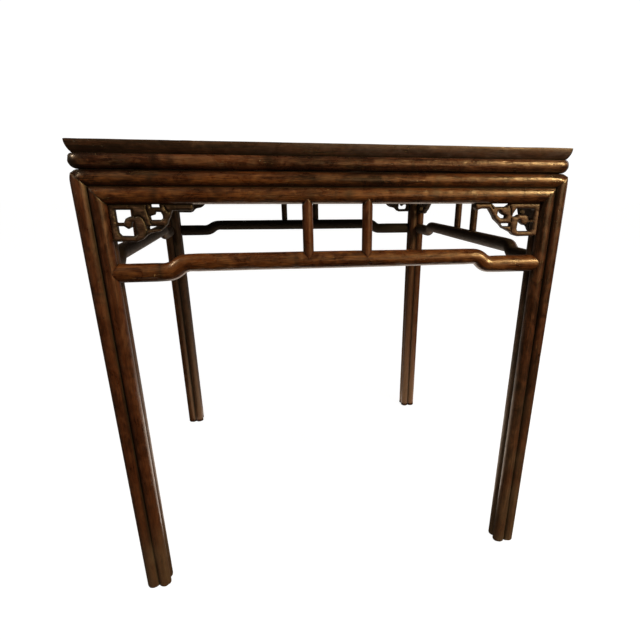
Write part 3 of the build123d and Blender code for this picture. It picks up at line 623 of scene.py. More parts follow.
# On the legs flank and inside paint shade on the sides and inner faces of the reeds, and groove_reach spreads the dark
# of the grooves over the flanks as painted shade.
for k, node in enumerate(LEGS):
    sweep(
        node + "_wood", node, leg_wood, leg_section, 0.0, leg_top(leg_section),
        lambda T, A, B: np.stack([A - AXIS, B - AXIS, T], -1), k=k, step=4.5, seed=11 + k,
        groove=leg_cusps, groove_reach=3.4, crown=lambda p: np.clip((np.hypot(p[:, 0], p[:, 1]) - 17.5) / 6, 0, 1),
        flank=0.55, wave=0.15, dent=0.22,
        inside=lambda p: 0.45 * smooth(0.15, 0.8, (p[:, 0] + p[:, 1]) / 33), extra=leg_extra(40 + k),
        # painted light: the legs are coloured lighter towards the feet, and the back right leg lighter, most below its
        # upper part
        tone_and_light=lambda T, A, B, k=k: (0.02, -0.10, 0.16, -0.03)[k] + 0.11 * smooth(520, 60, T)
        + (0.0, 0.0, 0.30, 0.0)[k] * smooth(690, 560, T),
        end_dirt=0.9, marks=LEG_MARKS[k], corners=True, film_and_sheen=leg_grey_film(k),
    )

# =============================================================== aprons
apron_section = outline(
    [
        (-APRON_BACK, Z_APRON, 1.6), (-APRON_BACK, Z_BEAD),
        arc(-HALF + REED_R, Z_BEAD - REED_R, REED_R, REED_R, 90, 180 + REED_TOP, 1.15),
        arc(-HALF + REED_R, REED2_Z, REED_R, REED_R * K2, 180 - REED_TOP, 270, 1.15),
    ],
    step=3.6,
)


def apron_end(pts):
    y, z = pts[:, 0], pts[:, 1]
    mitre = np.where(z >= Z_REED, AXIS + (z - Z_REED), INNER + (z - Z_APRON) * (REED_1 / REED_2))
    end = np.minimum(mitre, -y)
    return np.where(y > -CORE, INNER, end)


def front(T, A, B):
    return np.stack([T, A, B], -1)


UPPER, LOWER = (-418.0, Z_REED + 12.0, 10.0), (-418.0, Z_REED - 13.0, 10.5)
APRON_MARKS = (
    [(-303, 5, 0.8, UPPER), (-300, 6, 0.75, LOWER), (-52, 9, 0.6, LOWER), (12, 7, 0.6, LOWER), (-40, 34, 0.55, UPPER),
     (26, 30, 0.6, UPPER), (-120, 9, 0.45, LOWER), (-205, 14, 0.35, LOWER), (60, 16, 0.5, UPPER), (166, 6, 0.4, LOWER),
     (-345, 14, 0.4, UPPER), (232, 6, 0.3, UPPER), (303, 3, 0.5, LOWER), (-395, 12, 0.35, LOWER)],
    [(-210, 8, 0.5, UPPER), (-60, 7, 0.6, LOWER), (130, 12, 0.5, UPPER), (240, 7, 0.5, LOWER)],
    [(-170, 9, 0.5, LOWER), (40, 14, 0.5, UPPER), (250, 7, 0.6, LOWER)],
    [(-260, 8, 0.6, UPPER), (-90, 10, 0.5, LOWER), (70, 8, 0.5, UPPER), (210, 12, 0.4, LOWER)],
)


# colour along the front apron: lighter and darker patches of wood in the middle, and painted light, darker at the left
# end and lighter towards the right
def front_apron_tone_and_light(T, A, B):
    upper = smooth(Z_REED - 2, Z_REED + 2, B)
    up = -0.07 - 0.06 * smooth(-240, -330, T) + 0.10 * np.exp(-(((T + 150) / 90) ** 2)) - 0.03 * np.exp(-(((T - 20) / 90) ** 2)) + 0.07 * smooth(80, 220, T)
    lo = -0.05 + 0.04 * np.exp(-(((T + 120) / 90) ** 2)) + 0.07 * smooth(20, 120, T)
    return up * upper + lo * (1 - upper)


APRON_TONES = (front_apron_tone_and_light, 0.0, -0.03, -0.02)
for k, side in enumerate(SIDES):
    e = apron_end(apron_section)
    sweep(
        side + "_apron_wood", side + "_apron", frame_wood, apron_section, -e, e, front, k=k,
        seed=21 + k, groove=[(-HALF + CUSP, Z_REED), (-HALF + 8, Z_BEAD)], groove_reach=2.6,
        # inside paints shade on the back faces of the aprons
        inside=lambda p: smooth(-409, -399, p[:, 0]),
        crown=lambda p: np.clip((-p[:, 0] - 408) / 11, 0, 1), tone_and_light=APRON_TONES[k], end_dirt=0.75,
        marks=APRON_MARKS[k], flank=0.12, corners=True,
    )

# =============================================================== bead strips
bead_section = outline(
    [
        (-CORE - 0.4, Z_BEAD), (-CORE - 0.4, Z_BEAD_TOP),
        arc(-HALF + BEAD_NECK, Z_BEAD_TOP - BEAD_CREST, BEAD_NECK, BEAD_CREST, 90, 180, 1.15),
        arc(-HALF + REED_R, Z_BEAD_TOP - BEAD_CREST, REED_R, BEAD_H - BEAD_CREST, 180, 270, 1.15),
    ],
    step=3.0,
)
ARC = SKIN * math.pi / 4


def round_corner(T, A, B):
    """Runs straight to 400 mm from the middle, then turns by 45 degrees about the corner of the core."""
    over = np.clip(np.abs(T) - CORE, 0, None)
    phi = over / ARC * (math.pi / 4)
    reach = -(A + CORE)
    x = np.where(over > 0, np.sign(T) * (CORE + reach * np.sin(phi)), T)
    y = np.where(over > 0, -CORE - reach * np.cos(phi), A)
    return np.stack([x, y, B], -1)


def bead_extra(seed):
    def extra(T, A, B, end):
        pit = smooth(0.45, 0.8, noise(T / 5, A / 4, B / 4, seed)) * smooth(0.1, 0.55, noise(T / 60, 0, seed, seed + 1))
        return 0.55 * pit
    return extra


BEAD_MARKS = (
    [(-292, 7, 0.7, None), (-270, 6, 0.55, None), (-118, 9, 0.75, None), (-70, 12, 0.4, None), (-42, 9, 0.5, None),
     (12, 10, 0.4, None), (30, 9, 0.5, None), (122, 4, 0.7, (-418.5, 826.0, 5.0)), (350, 8, 0.35, None),
     (-414, 13, 0.85, None), (-345, 8, 0.35, None)],
    [(-250, 10, 0.5, None), (0, 8, 0.6, None), (180, 12, 0.5, None)],
    [(-120, 10, 0.5, None), (90, 8, 0.6, None), (300, 10, 0.4, None)],
    [(-300, 8, 0.5, None), (-60, 12, 0.4, None), (200, 9, 0.6, None)],
)


# colour along the front bead: a lighter patch left of the middle, and painted light, darker at the left end and lighter
# towards the right
def front_bead_tone_and_light(T, A, B):
    return -0.04 - 0.09 * smooth(-250, -330, T) + 0.14 * np.exp(-(((T + 190) / 70) ** 2)) - 0.02 * np.exp(-(((T - 0) / 80) ** 2)) + 0.06 * smooth(60, 200, T)


for k, side in enumerate(SIDES):
    sweep(
        side + "_bead_strip_wood", side + "_bead_strip", bead_wood, bead_section,
        -CORE - ARC, CORE + ARC, round_corner, k=k, seed=31 + k, groove=[(-408.5, Z_BEAD), (-411.5, Z_BEAD_TOP)],
        groove_reach=3.0, crown=lambda p: np.clip((-p[:, 0] - 410) / 10, 0, 1), extra=bead_extra(70 + k),
        tone_and_light=(front_bead_tone_and_light, -0.03, 0.03, 0.0)[k], end_dirt=0.9, wave=0.42, dent=0.5, marks=BEAD_MARKS[k], flank=0.12,
    )

# =============================================================== top frame
thumb = [
    (-TOP_HALF, HEIGHT - 0.8), (-TOP_HALF + 1.4, HEIGHT - 10.4), (-TOP_HALF + EDGE_INSET, Z_BEAD_TOP)
]


def three_point(p, q, s, n):
    (ax, ay), (bx, by), (cx, cy) = p, q, s
    d = 2 * (ax * (by - cy) + bx * (cy - ay) + cx * (ay - by))
    ux = ((ax**2 + ay**2) * (by - cy) + (bx**2 + by**2) * (cy - ay) + (cx**2 + cy**2) * (ay - by)) / d
    uy = ((ax**2 + ay**2) * (cx - bx) + (bx**2 + by**2) * (ax - cx) + (cx**2 + cy**2) * (bx - ax)) / d
    r = math.hypot(ax - ux, ay - uy)
    a0, a1 = math.atan2(ay - uy, ax - ux), math.atan2(cy - uy, cx - ux)
    while a1 - a0 > math.pi:
        a1 -= 2 * math.pi
    while a1 - a0 < -math.pi:
        a1 += 2 * math.pi
    return [(ux + r * math.cos(a), uy + r * math.sin(a)) for a in np.linspace(a0, a1, n)]


rail_section = outline(
    [
        (-TOP_HALF + 1.6, HEIGHT),
        (-TOP_HALF + 0.45, HEIGHT - 0.3),
        three_point(*thumb, 19),
        (-CORE, Z_BEAD_TOP), (-CORE, Z_CORE), (-RAIL_IN, Z_CORE, 1.5), (-RAIL_IN, 846.0), (-RAIL_IN - 8, 846.0),
        (-RAIL_IN - 8, 852.0), (-RAIL_IN, 852.0), (-RAIL_IN, HEIGHT, 0.9),
    ],
    step=3.4,
)


def rail_extra(seed, spots):
    def extra(T, A, B, end):
        edge = np.exp(-(((A + TOP_HALF) / 3.2) ** 2) - (((B - HEIGHT) / 2.4) ** 2))
        chip = smooth(0.50, 0.85, noise(T / 7, 0.3, seed, seed)) * smooth(-0.1, 0.5, noise(T / 55, 0.7, seed, seed + 1))
        worn = 0.30 + 0.25 * noise(T / 40, 0.2, seed, seed + 2)
        for at, width, deep in spots:
            chip = chip + deep * np.exp(-(((T - at) / width) ** 2))
        return edge * (0.8 * chip + 0.6 * worn)
    return extra




# the front moulded edge is coloured darker at the left end and lighter towards the right: painted light
def front_rail_tone_and_light(T, A, B):
    return -0.04 + smooth(-TOP_HALF + 9, -TOP_HALF + 3, A) * (-0.09 + 0.22 * smooth(-300, 300, T))


def rail_film_and_sheen(k):
    """The grey film lies on the moulded edge, not on the top. On the front it grows towards the right end, where it is
    also a painted reflection of the light there.
    """
    return lambda T, A, B: smooth(-TOP_HALF + 9, -TOP_HALF + 3, A) * (
        0.12 + 0.88 * smooth(-330, 260, T) if k == 0 else 0.45 + 0.0 * T
    )


RAIL_TONES = (front_rail_tone_and_light, -0.04, -0.02, -0.05)
CHIPS = ([(288.0, 5.0, 1.5), (303.0, 4.0, 1.1), (318.0, 3.0, 0.8), (-398.0, 6.0, 0.8)], [], [], [])
for k, side in enumerate(SIDES):
    e = -rail_section[:, 0]
    sweep(
        side + "_top_rail_wood", side + "_top_rail", edge_wood, rail_section, -e, e, front, k=k,
        seed=51 + k, groove=[(-TOP_HALF + EDGE_INSET, Z_BEAD_TOP), (-RAIL_IN, HEIGHT)], groove_reach=2.2,
        inside=lambda p: smooth(HEIGHT - 12, HEIGHT - 20, p[:, 1]) * (p[:, 0] > -CORE - 1),
        crown=lambda p: np.exp(-(((p[:, 0] + TOP_HALF) / 4) ** 2)) * 0.7 + 0.3 * (p[:, 1] > HEIGHT - 0.5),
        extra=rail_extra(80 + k, CHIPS[k]), tone_and_light=RAIL_TONES[k], end_dirt=0.8, wave=0.3, dent=0.4,
        seam=0.35, film_and_sheen=rail_film_and_sheen(k),
    )

# =============================================================== top boards and battens
PANEL, TONGUE = RAIL_IN - 0.5, RAIL_IN + 7.0
SEAMS = (-PANEL, -114.0, 119.0, PANEL)


def board_section():
    nodes = [(-PANEL, HEIGHT, 0.7), (-PANEL, 851.8), (-TONGUE, 851.8), (-TONGUE, 846.0)]
    for x in (-122.0, 122.0):
        nodes += [(x - 13, 846.0), (x - 15.5, 850.0), (x + 15.5, 850.0), (x + 13, 846.0)]
    nodes += [(TONGUE, 846.0), (TONGUE, 851.8), (PANEL, 851.8), (PANEL, HEIGHT, 0.7)]
    return outline(nodes, step=4.2)


panel_section = board_section()


def panel_place(T, A, B):
    return np.stack([A, T, B], -1)


def board_extra(lo, hi, seed):
    def extra(T, A, B, end):
        top = smooth(HEIGHT - 1.5, HEIGHT - 0.2, B)
        cup = 0.45 * (1 - np.cos((T - lo) / (hi - lo) * 2 * math.pi)) / 2
        sag = 0.25 * (1 + noise(A / 160, T / 60, seed, seed))
        edge = 0.55 * np.exp(-((end / 1.3) ** 2))
        knock = 0.5 * smooth(0.62, 0.85, noise(A / 9, T / 7, seed + 3, seed))
        return top * (cup + sag + edge + knock)
    return extra


for i, node in enumerate(("top_board_front", "top_board_middle", "top_board_back")):
    lo, hi = SEAMS[i] + (0.25 if i else 0), SEAMS[i + 1] - (0.25 if i < 2 else 0)
    obj = sweep(
        node + "_wood", node, panel_wood, panel_section, lo, hi, panel_place, step=4.5,
        seed=61 + i, inside=lambda p: smooth(HEIGHT - 2, HEIGHT - 5, p[:, 1]), extra=board_extra(lo, hi, 90 + i),
        crown=lambda p: 0.5 * (p[:, 1] > HEIGHT - 0.5), tone_and_light=(0.0, 0.04, -0.03)[i], wave=0.15, dent=0.0, seam=0.2,
        groove=[(-PANEL, HEIGHT), (PANEL, HEIGHT)], groove_reach=2.0, end_dirt=0.85,
    )
    # the grain of a board runs along the table, across the sweep
    a = obj.data.attributes["grain"]
    v = np.empty(len(obj.data.vertices) * 3, np.float32)
    a.data.foreach_get("vector", v)
    v = v.reshape(-1, 3)
    a.data.foreach_set("vector", np.stack([v[:, 1], v[:, 0], v[:, 2]], 1).ravel())

for i, (node, x) in enumerate((("left_batten", -122.0), ("right_batten", 122.0))):
    sec = outline(
        [
            (x - 16, 829, 1.5), (x - 14, 827, 1.5), (x + 14, 827, 1.5), (x + 16, 829, 1.5), (x + 16, 846.0),
            (x + 13, 846.0), (x + 15.5, 850.0), (x - 15.5, 850.0), (x - 13, 846.0), (x - 16, 846.0),
        ],
        step=3.0,
    )
    sweep(
        node + "_wood", node, plain_wood, sec, -RAIL_IN, RAIL_IN, panel_place, seed=65 + i,
        inside=lambda p: np.full(len(p), 0.3), wave=0.4, dent=0.4, end_dirt=0.8,
    )

# =============================================================== stretchers
def humpback(hump):
    """Height and slope of the stretcher's axis over x: two equal tangent arcs in each step."""
    a, b, c, d = hump

    def step_up(x, x0, x1):
        run, rise = x1 - x0, STRETCH_HI - STRETCH_LO
        r = (run**2 + rise**2) / (4 * rise)
        mid = (x0 + x1) / 2
        low = STRETCH_LO + r - np.sqrt(np.maximum(r**2 - np.clip(x - x0, 0, None) ** 2, 0))
        high = STRETCH_HI - r + np.sqrt(np.maximum(r**2 - np.clip(x1 - x, 0, None) ** 2, 0))
        return np.where(x <= x0, STRETCH_LO, np.where(x >= x1, STRETCH_HI, np.where(x < mid, low, high)))

    def height(x):
        return np.where(x < (b + c) / 2, step_up(x, a, b), step_up(-x, -d, -c))

    return height


rod = outline([arc(0, 0, STRETCH_R, STRETCH_R, 0, 354, 1.4)], step=3.0)


def rod_end(pts):
    y = -STRETCH_Y + pts[:, 0]
    outer = (AXIS - LOBE) - np.sqrt(np.maximum(REED_R**2 - (y + AXIS + LOBE) ** 2, 0))
    inner = (AXIS - LOBE) - np.sqrt(np.maximum(REED_R**2 - (y + AXIS - LOBE) ** 2, 0))
    return np.where(y < -AXIS, outer, inner)


def stretcher_place(height, hump):
    a, b, c, d = hump

    def place(T, A, B):
        z = height(T)
        low = 1 - smooth(a + 6, b - 6, T) + smooth(c + 6, d - 6, T)
        B = B * (1 + 0.045 * low - 0.035 * smooth(40, 200, T) * (1 - low))
        slope = (height(T + 0.5) - height(T - 0.5))
        n = 1 / np.sqrt(1 + slope**2)
        return np.stack([T - B * slope * n, -STRETCH_Y + A, z + B * n], -1)
    return place


def stretcher_extra(hump, seed):
    def extra(T, A, B, end):
        flat = 0.0
        for s in hump:
            flat = flat + np.exp(-(((T - s) / 9) ** 2))
        return 0.35 * flat * np.abs(B) / STRETCH_R
    return extra


ROD_MARKS = (
    [(-306, 5, 0.75, None), (-80, 5, 0.65, None), (-92, 7, 0.5, (-12, 8, 10)), (135, 3, 0.7, (-13, -5, 6)), (30, 9, 0.35, None),
     (206, 4, 0.4, None), (-200, 8, 0.3, (-12, -8, 12))],
    [(-120, 5, 0.6, None), (160, 7, 0.5, None)],
    [(60, 5, 0.6, None), (-210, 7, 0.5, None)],
    [(-60, 5, 0.6, None), (230, 7, 0.5, None)],
)
# painted shade: the back stretcher takes shade_wood, a wider inside mask and a darker colour offset, and the right one
# a wider inside mask
for k, side in enumerate(SIDES):
    e = rod_end(rod)
    sweep(
        side + "_stretcher_wood", side + "_stretcher", shade_wood if k == 2 else frame_wood, rod, -e, e,
        stretcher_place(humpback(HUMPS[side]), HUMPS[side]), k=k, seed=71 + k, step=3.6,
        inside=lambda p, k=k: smooth((1.0, -5.0, -7.0, 1.0)[k], 7.0, p[:, 0]),
        crown=lambda p: np.clip(0.6 - 0.5 * p[:, 0] / STRETCH_R + 0.2 * p[:, 1] / STRETCH_R, 0, 1),
        extra=stretcher_extra(HUMPS[side], 95 + k), tone_and_light=(0.03, -0.04, -0.10, -0.03)[k], wave=0.45, dent=0.4,
        end_dirt=0.9, marks=ROD_MARKS[k],
    )

# =============================================================== struts
peg = outline([arc(0, 0, STRUT_R, STRUT_R, 0, 352.5, 1.2)], step=3.0)


def strut_ends(pts):
    y = -STRUT_Y + pts[:, 1]
    low = STRETCH_HI + np.sqrt(np.maximum(STRETCH_R**2 - (y + STRETCH_Y) ** 2, 0))
    q = np.clip((y + HALF - REED_R) / REED_R, -1, 0)
    high = REED2_Z - REED_R * K2 * np.sqrt(1 - q**2)
    # the shoulders are cut to a straight V in front
    x = np.abs(pts[:, 0])
    in_front = pts[:, 1] < 1.0
    low = np.where(in_front, np.maximum(low, 677.6 + 1.22 * x), low)
    high = np.where(in_front, np.minimum(high, 776.2 - 1.15 * x), high)
    return low, high


for k, side in enumerate(SIDES):
    for j, (x, hand) in enumerate(zip(STRUTS[side], ("left", "right"))):
        low, high = strut_ends(peg)
        sweep(
            f"{side}_{hand}_strut_wood", f"{side}_{hand}_strut", leg_wood, peg, low, high,
            lambda T, A, B, x=x: np.stack([x + A, -STRUT_Y + B, T], -1), k=k, seed=101 + 2 * k + j, step=3.0,
            # inside paints shade on the back half of each strut
            inside=lambda p: 0.5 * smooth(-2.0, 6.0, p[:, 1]), crown=lambda p: np.clip(0.5 - 0.5 * p[:, 1] / STRUT_R, 0, 1),
            tone_and_light=(0.10, 0.0, -0.02, 0.0)[k], wave=0.3, dent=0.3, margin=20.0, end_dirt=0.8,
        )

# =============================================================== openwork scroll spandrels
# (u, v): u runs from the leg along the apron, v down from the apron. The outlines start where the front of
# the board meets the reed of the leg (JU) and that of the apron (JV). Each strand is worked round like a
# thin rod, and where one strand passes into another there is a cut line between them.
JU = SPANDREL_U - (AXIS - LOBE) + math.sqrt(REED_R**2 - (SPANDREL_FRONT - AXIS - LOBE) ** 2)
JV = (SPANDREL_V - Z_APRON) - REED_R * K2 * (
    1 - math.sqrt(1 - ((SPANDREL_FRONT - HALF + REED_R) / REED_R) ** 2)
)
SCROLLS = {
    "left": (
        [(JU, JV, 0), (65.2, JV, 0), (65.1, 4.9, 1.1), (79, 5, 1.1), (79.6, JV, 0), (130, JV, 0), (130, 7, 2),
         (127.5, 10.4, 1.6), (121, 10, 1.6), (97.5, 10, 1.6), (95.3, 14.3, 1.6), (93.4, 19.7, 1.6),
         (90.1, 24.5, 1.6), (87.8, 31, 1.6), (83, 35.6, 1.6), (74.5, 42.2, 1.6), (60.1, 44.6, 1.6),
         (53, 48.6, 1.6), (47.5, 54, 1.6), (37, 58, 1.6), (JU, 57.35, 0)],
        [
            [(71.5, 12), (79, 12.4), (81.3, 17), (81.3, 21.8), (77.5, 24.4), (62.5, 24.4), (61.8, 18.5), (69.5, 16.5)],
            [(10, 8.8), (36, 8.8), (35.6, 18), (29.4, 19.3), (24.5, 21.8), (20.7, 28.4), (10, 28.4)],
            [(10.4, 33.6), (20.2, 33.6), (26.5, 38.2), (31.3, 35.6), (33.5, 27.7), (37, 27.7), (38.4, 46),
             (34.5, 49.4), (14, 48.6), (10.6, 44.5)],
            [(54.8, 34), (82.5, 33.8), (77, 38.8), (55, 38.8)],
        ],
        [
            [(38.4, 19.4), (42.5, 17.4), (47.4, 18.8), (51.0, 22.6), (53.2, 27.4), (54.0, 31.6)],
            [(54.2, 41.6), (53.6, 44.8), (51.4, 48.0)],
            [(58.6, 2.0), (57.6, 7.0), (58.8, 14.0), (61.0, 22.0), (61.6, 30.0)],
            [(85.6, 2.4), (87.5, 8.5), (90.5, 12.0)],
        ],
    ),
    "right": (
        [(JU, JV, 0), (60.1, JV, 0), (60.1, 1, 0.7), (67.6, 6, 1.1), (88.6, 6, 1.1), (95.2, 1, 0.7), (95.2, JV, 0),
         (128.5, JV, 0), (128.5, 7, 2), (125, 12, 1.6), (120, 10.2, 1.6), (115.2, 9, 1.6), (101, 9.3, 1.6),
         (92.7, 20, 1.6), (88.1, 27.4, 1.6), (76.1, 37, 1.6), (70.1, 43, 1.6), (61.5, 46.8, 1.6),
         (53.2, 50.6, 1.6), (47.5, 55.6, 1.6), (39, 58, 1.6), (JU, 57.35, 0)],
        [
            [(82.6, 13.6), (78.8, 11.8), (76, 16.6), (70.5, 20), (65.6, 21.6), (66.6, 25.8), (76, 26), (83.4, 20)],
            [(47, 9.3), (13.5, 9.3), (10.6, 12.6), (10.6, 29.6), (20.8, 29.6), (22.4, 22.8), (27.4, 20),
             (40.7, 20), (44.9, 22.8), (53.4, 22.6), (52.3, 17.5)],
            [(41, 29.4), (37, 29.6), (35, 34.2), (27.8, 38.6), (21, 33), (10.4, 33), (10, 45.8), (13.5, 49.2),
             (39, 49.2), (41.8, 45)],
            [(76.5, 34.6), (55.3, 34.6), (55.3, 40), (69.5, 40)],
        ],
        [
            [(61.3, 5.2), (58.8, 9), (56.9, 19.5)],
            [(55.2, 25.5), (55.0, 31.5)],
            [(54.2, 43.0), (53.2, 47.6)],
            [(92.6, 9.0), (97.5, 3.6)],
        ],
    ),
    "back": (
        [(JU, JV, 0), (60.4, JV, 0), (60.3, 4.9, 1.1), (73.5, 5, 1.1), (74.1, JV, 0), (124, JV, 0), (124, 7, 2),
         (121.5, 10.4, 1.6), (115, 10, 1.6), (92, 10, 1.6), (89.8, 14.3, 1.6), (87.5, 19.7, 1.6), (83.4, 25.6, 1.6),
         (80, 30.6, 1.6), (74.5, 36.2, 1.6), (67, 40.2, 1.6), (53.5, 42.6, 1.6), (48, 46.6, 1.6),
         (43.5, 51.6, 1.6), (36, 54.4, 1.6), (JU, 54.0, 0)],
        [
            [(66.5, 12), (73.5, 12.4), (75.8, 17), (75.8, 21.8), (72, 24.4), (58, 24.4), (57.3, 18.5), (64.5, 16.5)],
            [(10, 8.8), (36, 8.8), (35.6, 18), (29.4, 19.3), (24.5, 21.8), (20.7, 28), (10, 28)],
            [(10.4, 32.4), (20.2, 32.4), (26.5, 37.4), (31.3, 34.8), (33.5, 27.2), (37, 27.2), (38.4, 43.4),
             (35, 46.8), (13.4, 46.4), (10.6, 42.6)],
        ],
        [
            [(56.0, 1.6), (52.8, 6), (50.0, 18.6), (49.6, 36.5), (48.4, 42.8)],
            [(80.4, 2.4), (82.3, 8.5), (85.2, 12.0)],
        ],
    ),
}
ROUND, DEEP = 4.9, 3.3  # a strand's rounding: how far in from its edge, and how deep


def inside_loops(p, loops):
    hit = np.zeros(len(p), bool)
    for loop in loops:
        q = np.roll(loop, -1, 0)
        for (x0, y0), (x1, y1) in zip(loop, q):
            cross = (y0 > p[:, 1]) != (y1 > p[:, 1])
            if not cross.any() or y0 == y1:
                continue
            at = x0 + (p[:, 1] - y0) * (x1 - x0) / (y1 - y0)
            hit ^= cross & (p[:, 0] < at)
    return hit


def distance_to(p, lines, closed=True):
    """Distance of each point to the nearest of some lines."""
    best = np.full(len(p), 1e9)
    for line in lines:
        a, b = (line, np.roll(line, -1, 0)) if closed else (line[:-1], line[1:])
        ab = b - a
        f = np.einsum("pij,ij->pi", p[:, None] - a[None], ab) / np.maximum((ab**2).sum(1), 1e-12)[None]
        gap = p[:, None] - a[None] - np.clip(f, 0, 1)[..., None] * ab[None]
        best = np.minimum(best, np.hypot(gap[..., 0], gap[..., 1]).min(1))
    return best


def resampled(line, step):
    line = np.array(line, float)
    out = [line[:1]]
    for a, b in zip(line[:-1], line[1:]):
        n = max(1, int(round(np.hypot(*(b - a)) / step)))
        out.append(a + (b - a) * (np.arange(1, n + 1) / n)[:, None])
    return np.concatenate(out)


def flat_scroll(outer, holes, cuts):
    loops = [outline(outer, step=1.0)] + [outline([(*h, 1.1) for h in hole], step=1.0) for hole in holes]
    cuts = [resampled(c, 0.9) for c in cuts]
    pts, edges = [], []
    for loop in loops:
        n0 = len(pts)
        pts += [tuple(p) for p in loop]
        edges += [(n0 + i, n0 + (i + 1) % len(loop)) for i in range(len(loop))]
    for cut in cuts:
        n0 = len(pts)
        pts += [tuple(p) for p in cut]
        edges += [(n0 + i, n0 + i + 1) for i in range(len(cut) - 1)]
    rings = (0.45, 1.1, 2.0, 3.1, 4.3)
    inner = []
    for ring in rings:
        for loop in loops:
            n = section_normals(loop)
            inner += [loop + ring * n, loop - ring * n]
        for cut in cuts:
            d = np.gradient(cut, axis=0)
            n = np.stack([d[:, 1], -d[:, 0]], 1) / np.maximum(np.hypot(d[:, 0], d[:, 1]), 1e-9)[:, None]
            inner += [cut + ring * n, cut - ring * n]
    ring_pts = np.concatenate(inner)
    gu, gv = np.meshgrid(np.arange(0.9, 131, 1.8), np.arange(0.6, 58, 1.8))
    grid = np.stack([gu.ravel(), gv.ravel()], 1)
    ring_pts, grid = ring_pts[inside_loops(ring_pts, loops)], grid[inside_loops(grid, loops)]

    def edge_distance(p):
        return np.minimum(distance_to(p, loops), distance_to(p, cuts, closed=False))

    dr, dg = edge_distance(ring_pts), edge_distance(grid)
    on_ring = np.abs(dr[:, None] - np.array(rings)[None]).min(1) < 0.06
    cand = np.concatenate([ring_pts[on_ring], grid[dg > 4.8]])
    kept, cells = [], {}
    for p in cand:  # none closer than half a millimetre
        c = (int(p[0] / 0.5), int(p[1] / 0.5))
        if any(
            abs(q[0] - p[0]) + abs(q[1] - p[1]) < 0.6
            for dx in (-1, 0, 1) for dy in (-1, 0, 1) for q in cells.get((c[0] + dx, c[1] + dy), ())
        ):
            continue
        cells.setdefault(c, []).append(p)
        kept.append(tuple(p))
    verts, _, faces, *_ = delaunay_2d_cdt([Vector(p) for p in pts + kept], edges, [], 0, 1e-5)
    v = np.array([tuple(p) for p in verts])
    tri = np.array([f for f in faces if len(f) == 3])
    tri = tri[inside_loops(v[tri].mean(1), loops)]
    used = np.unique(tri)
    remap = np.full(len(v), -1)
    remap[used] = np.arange(len(used))
    v, tri = v[used], remap[tri]
    e = np.concatenate([tri[:, [0, 1]], tri[:, [1, 2]], tri[:, [2, 0]]])
    seen = {(a, b) for a, b in e.tolist()}
    border = np.array([(a, b) for a, b in e.tolist() if (b, a) not in seen])
    return v, tri, border, distance_to(v, loops), distance_to(v, cuts, closed=False)


def plate_uv(v, depth):
    """The plate's points at a depth, its edges against the leg and apron moved on to their reeds."""
    u_leg = SPANDREL_U - (AXIS - LOBE) + np.sqrt(np.maximum(REED_R**2 - (depth - AXIS - LOBE) ** 2, 0))
    q = np.clip((depth - (HALF - REED_R)) / REED_R, 0, 1)
    v_apron = (SPANDREL_V - Z_APRON) - REED_R * K2 * (1 - np.sqrt(1 - q**2))
    out = v.copy()
    out[:, 0] = np.where(v[:, 0] < JU + 0.05, u_leg, v[:, 0])
    out[:, 1] = np.where(v[:, 1] < JV + 0.05, v_apron, v[:, 1])
    return out


def relief(edge, cut):
    """How far the face lies below the crest of the strands."""
    def drop(d, deep):
        return deep * (1 - np.sqrt(np.clip(1 - (1 - np.clip(d / ROUND, 0, 1)) ** 2, 0, 1)))
    return np.maximum(drop(edge, DEEP), drop(cut, DEEP * 0.85))


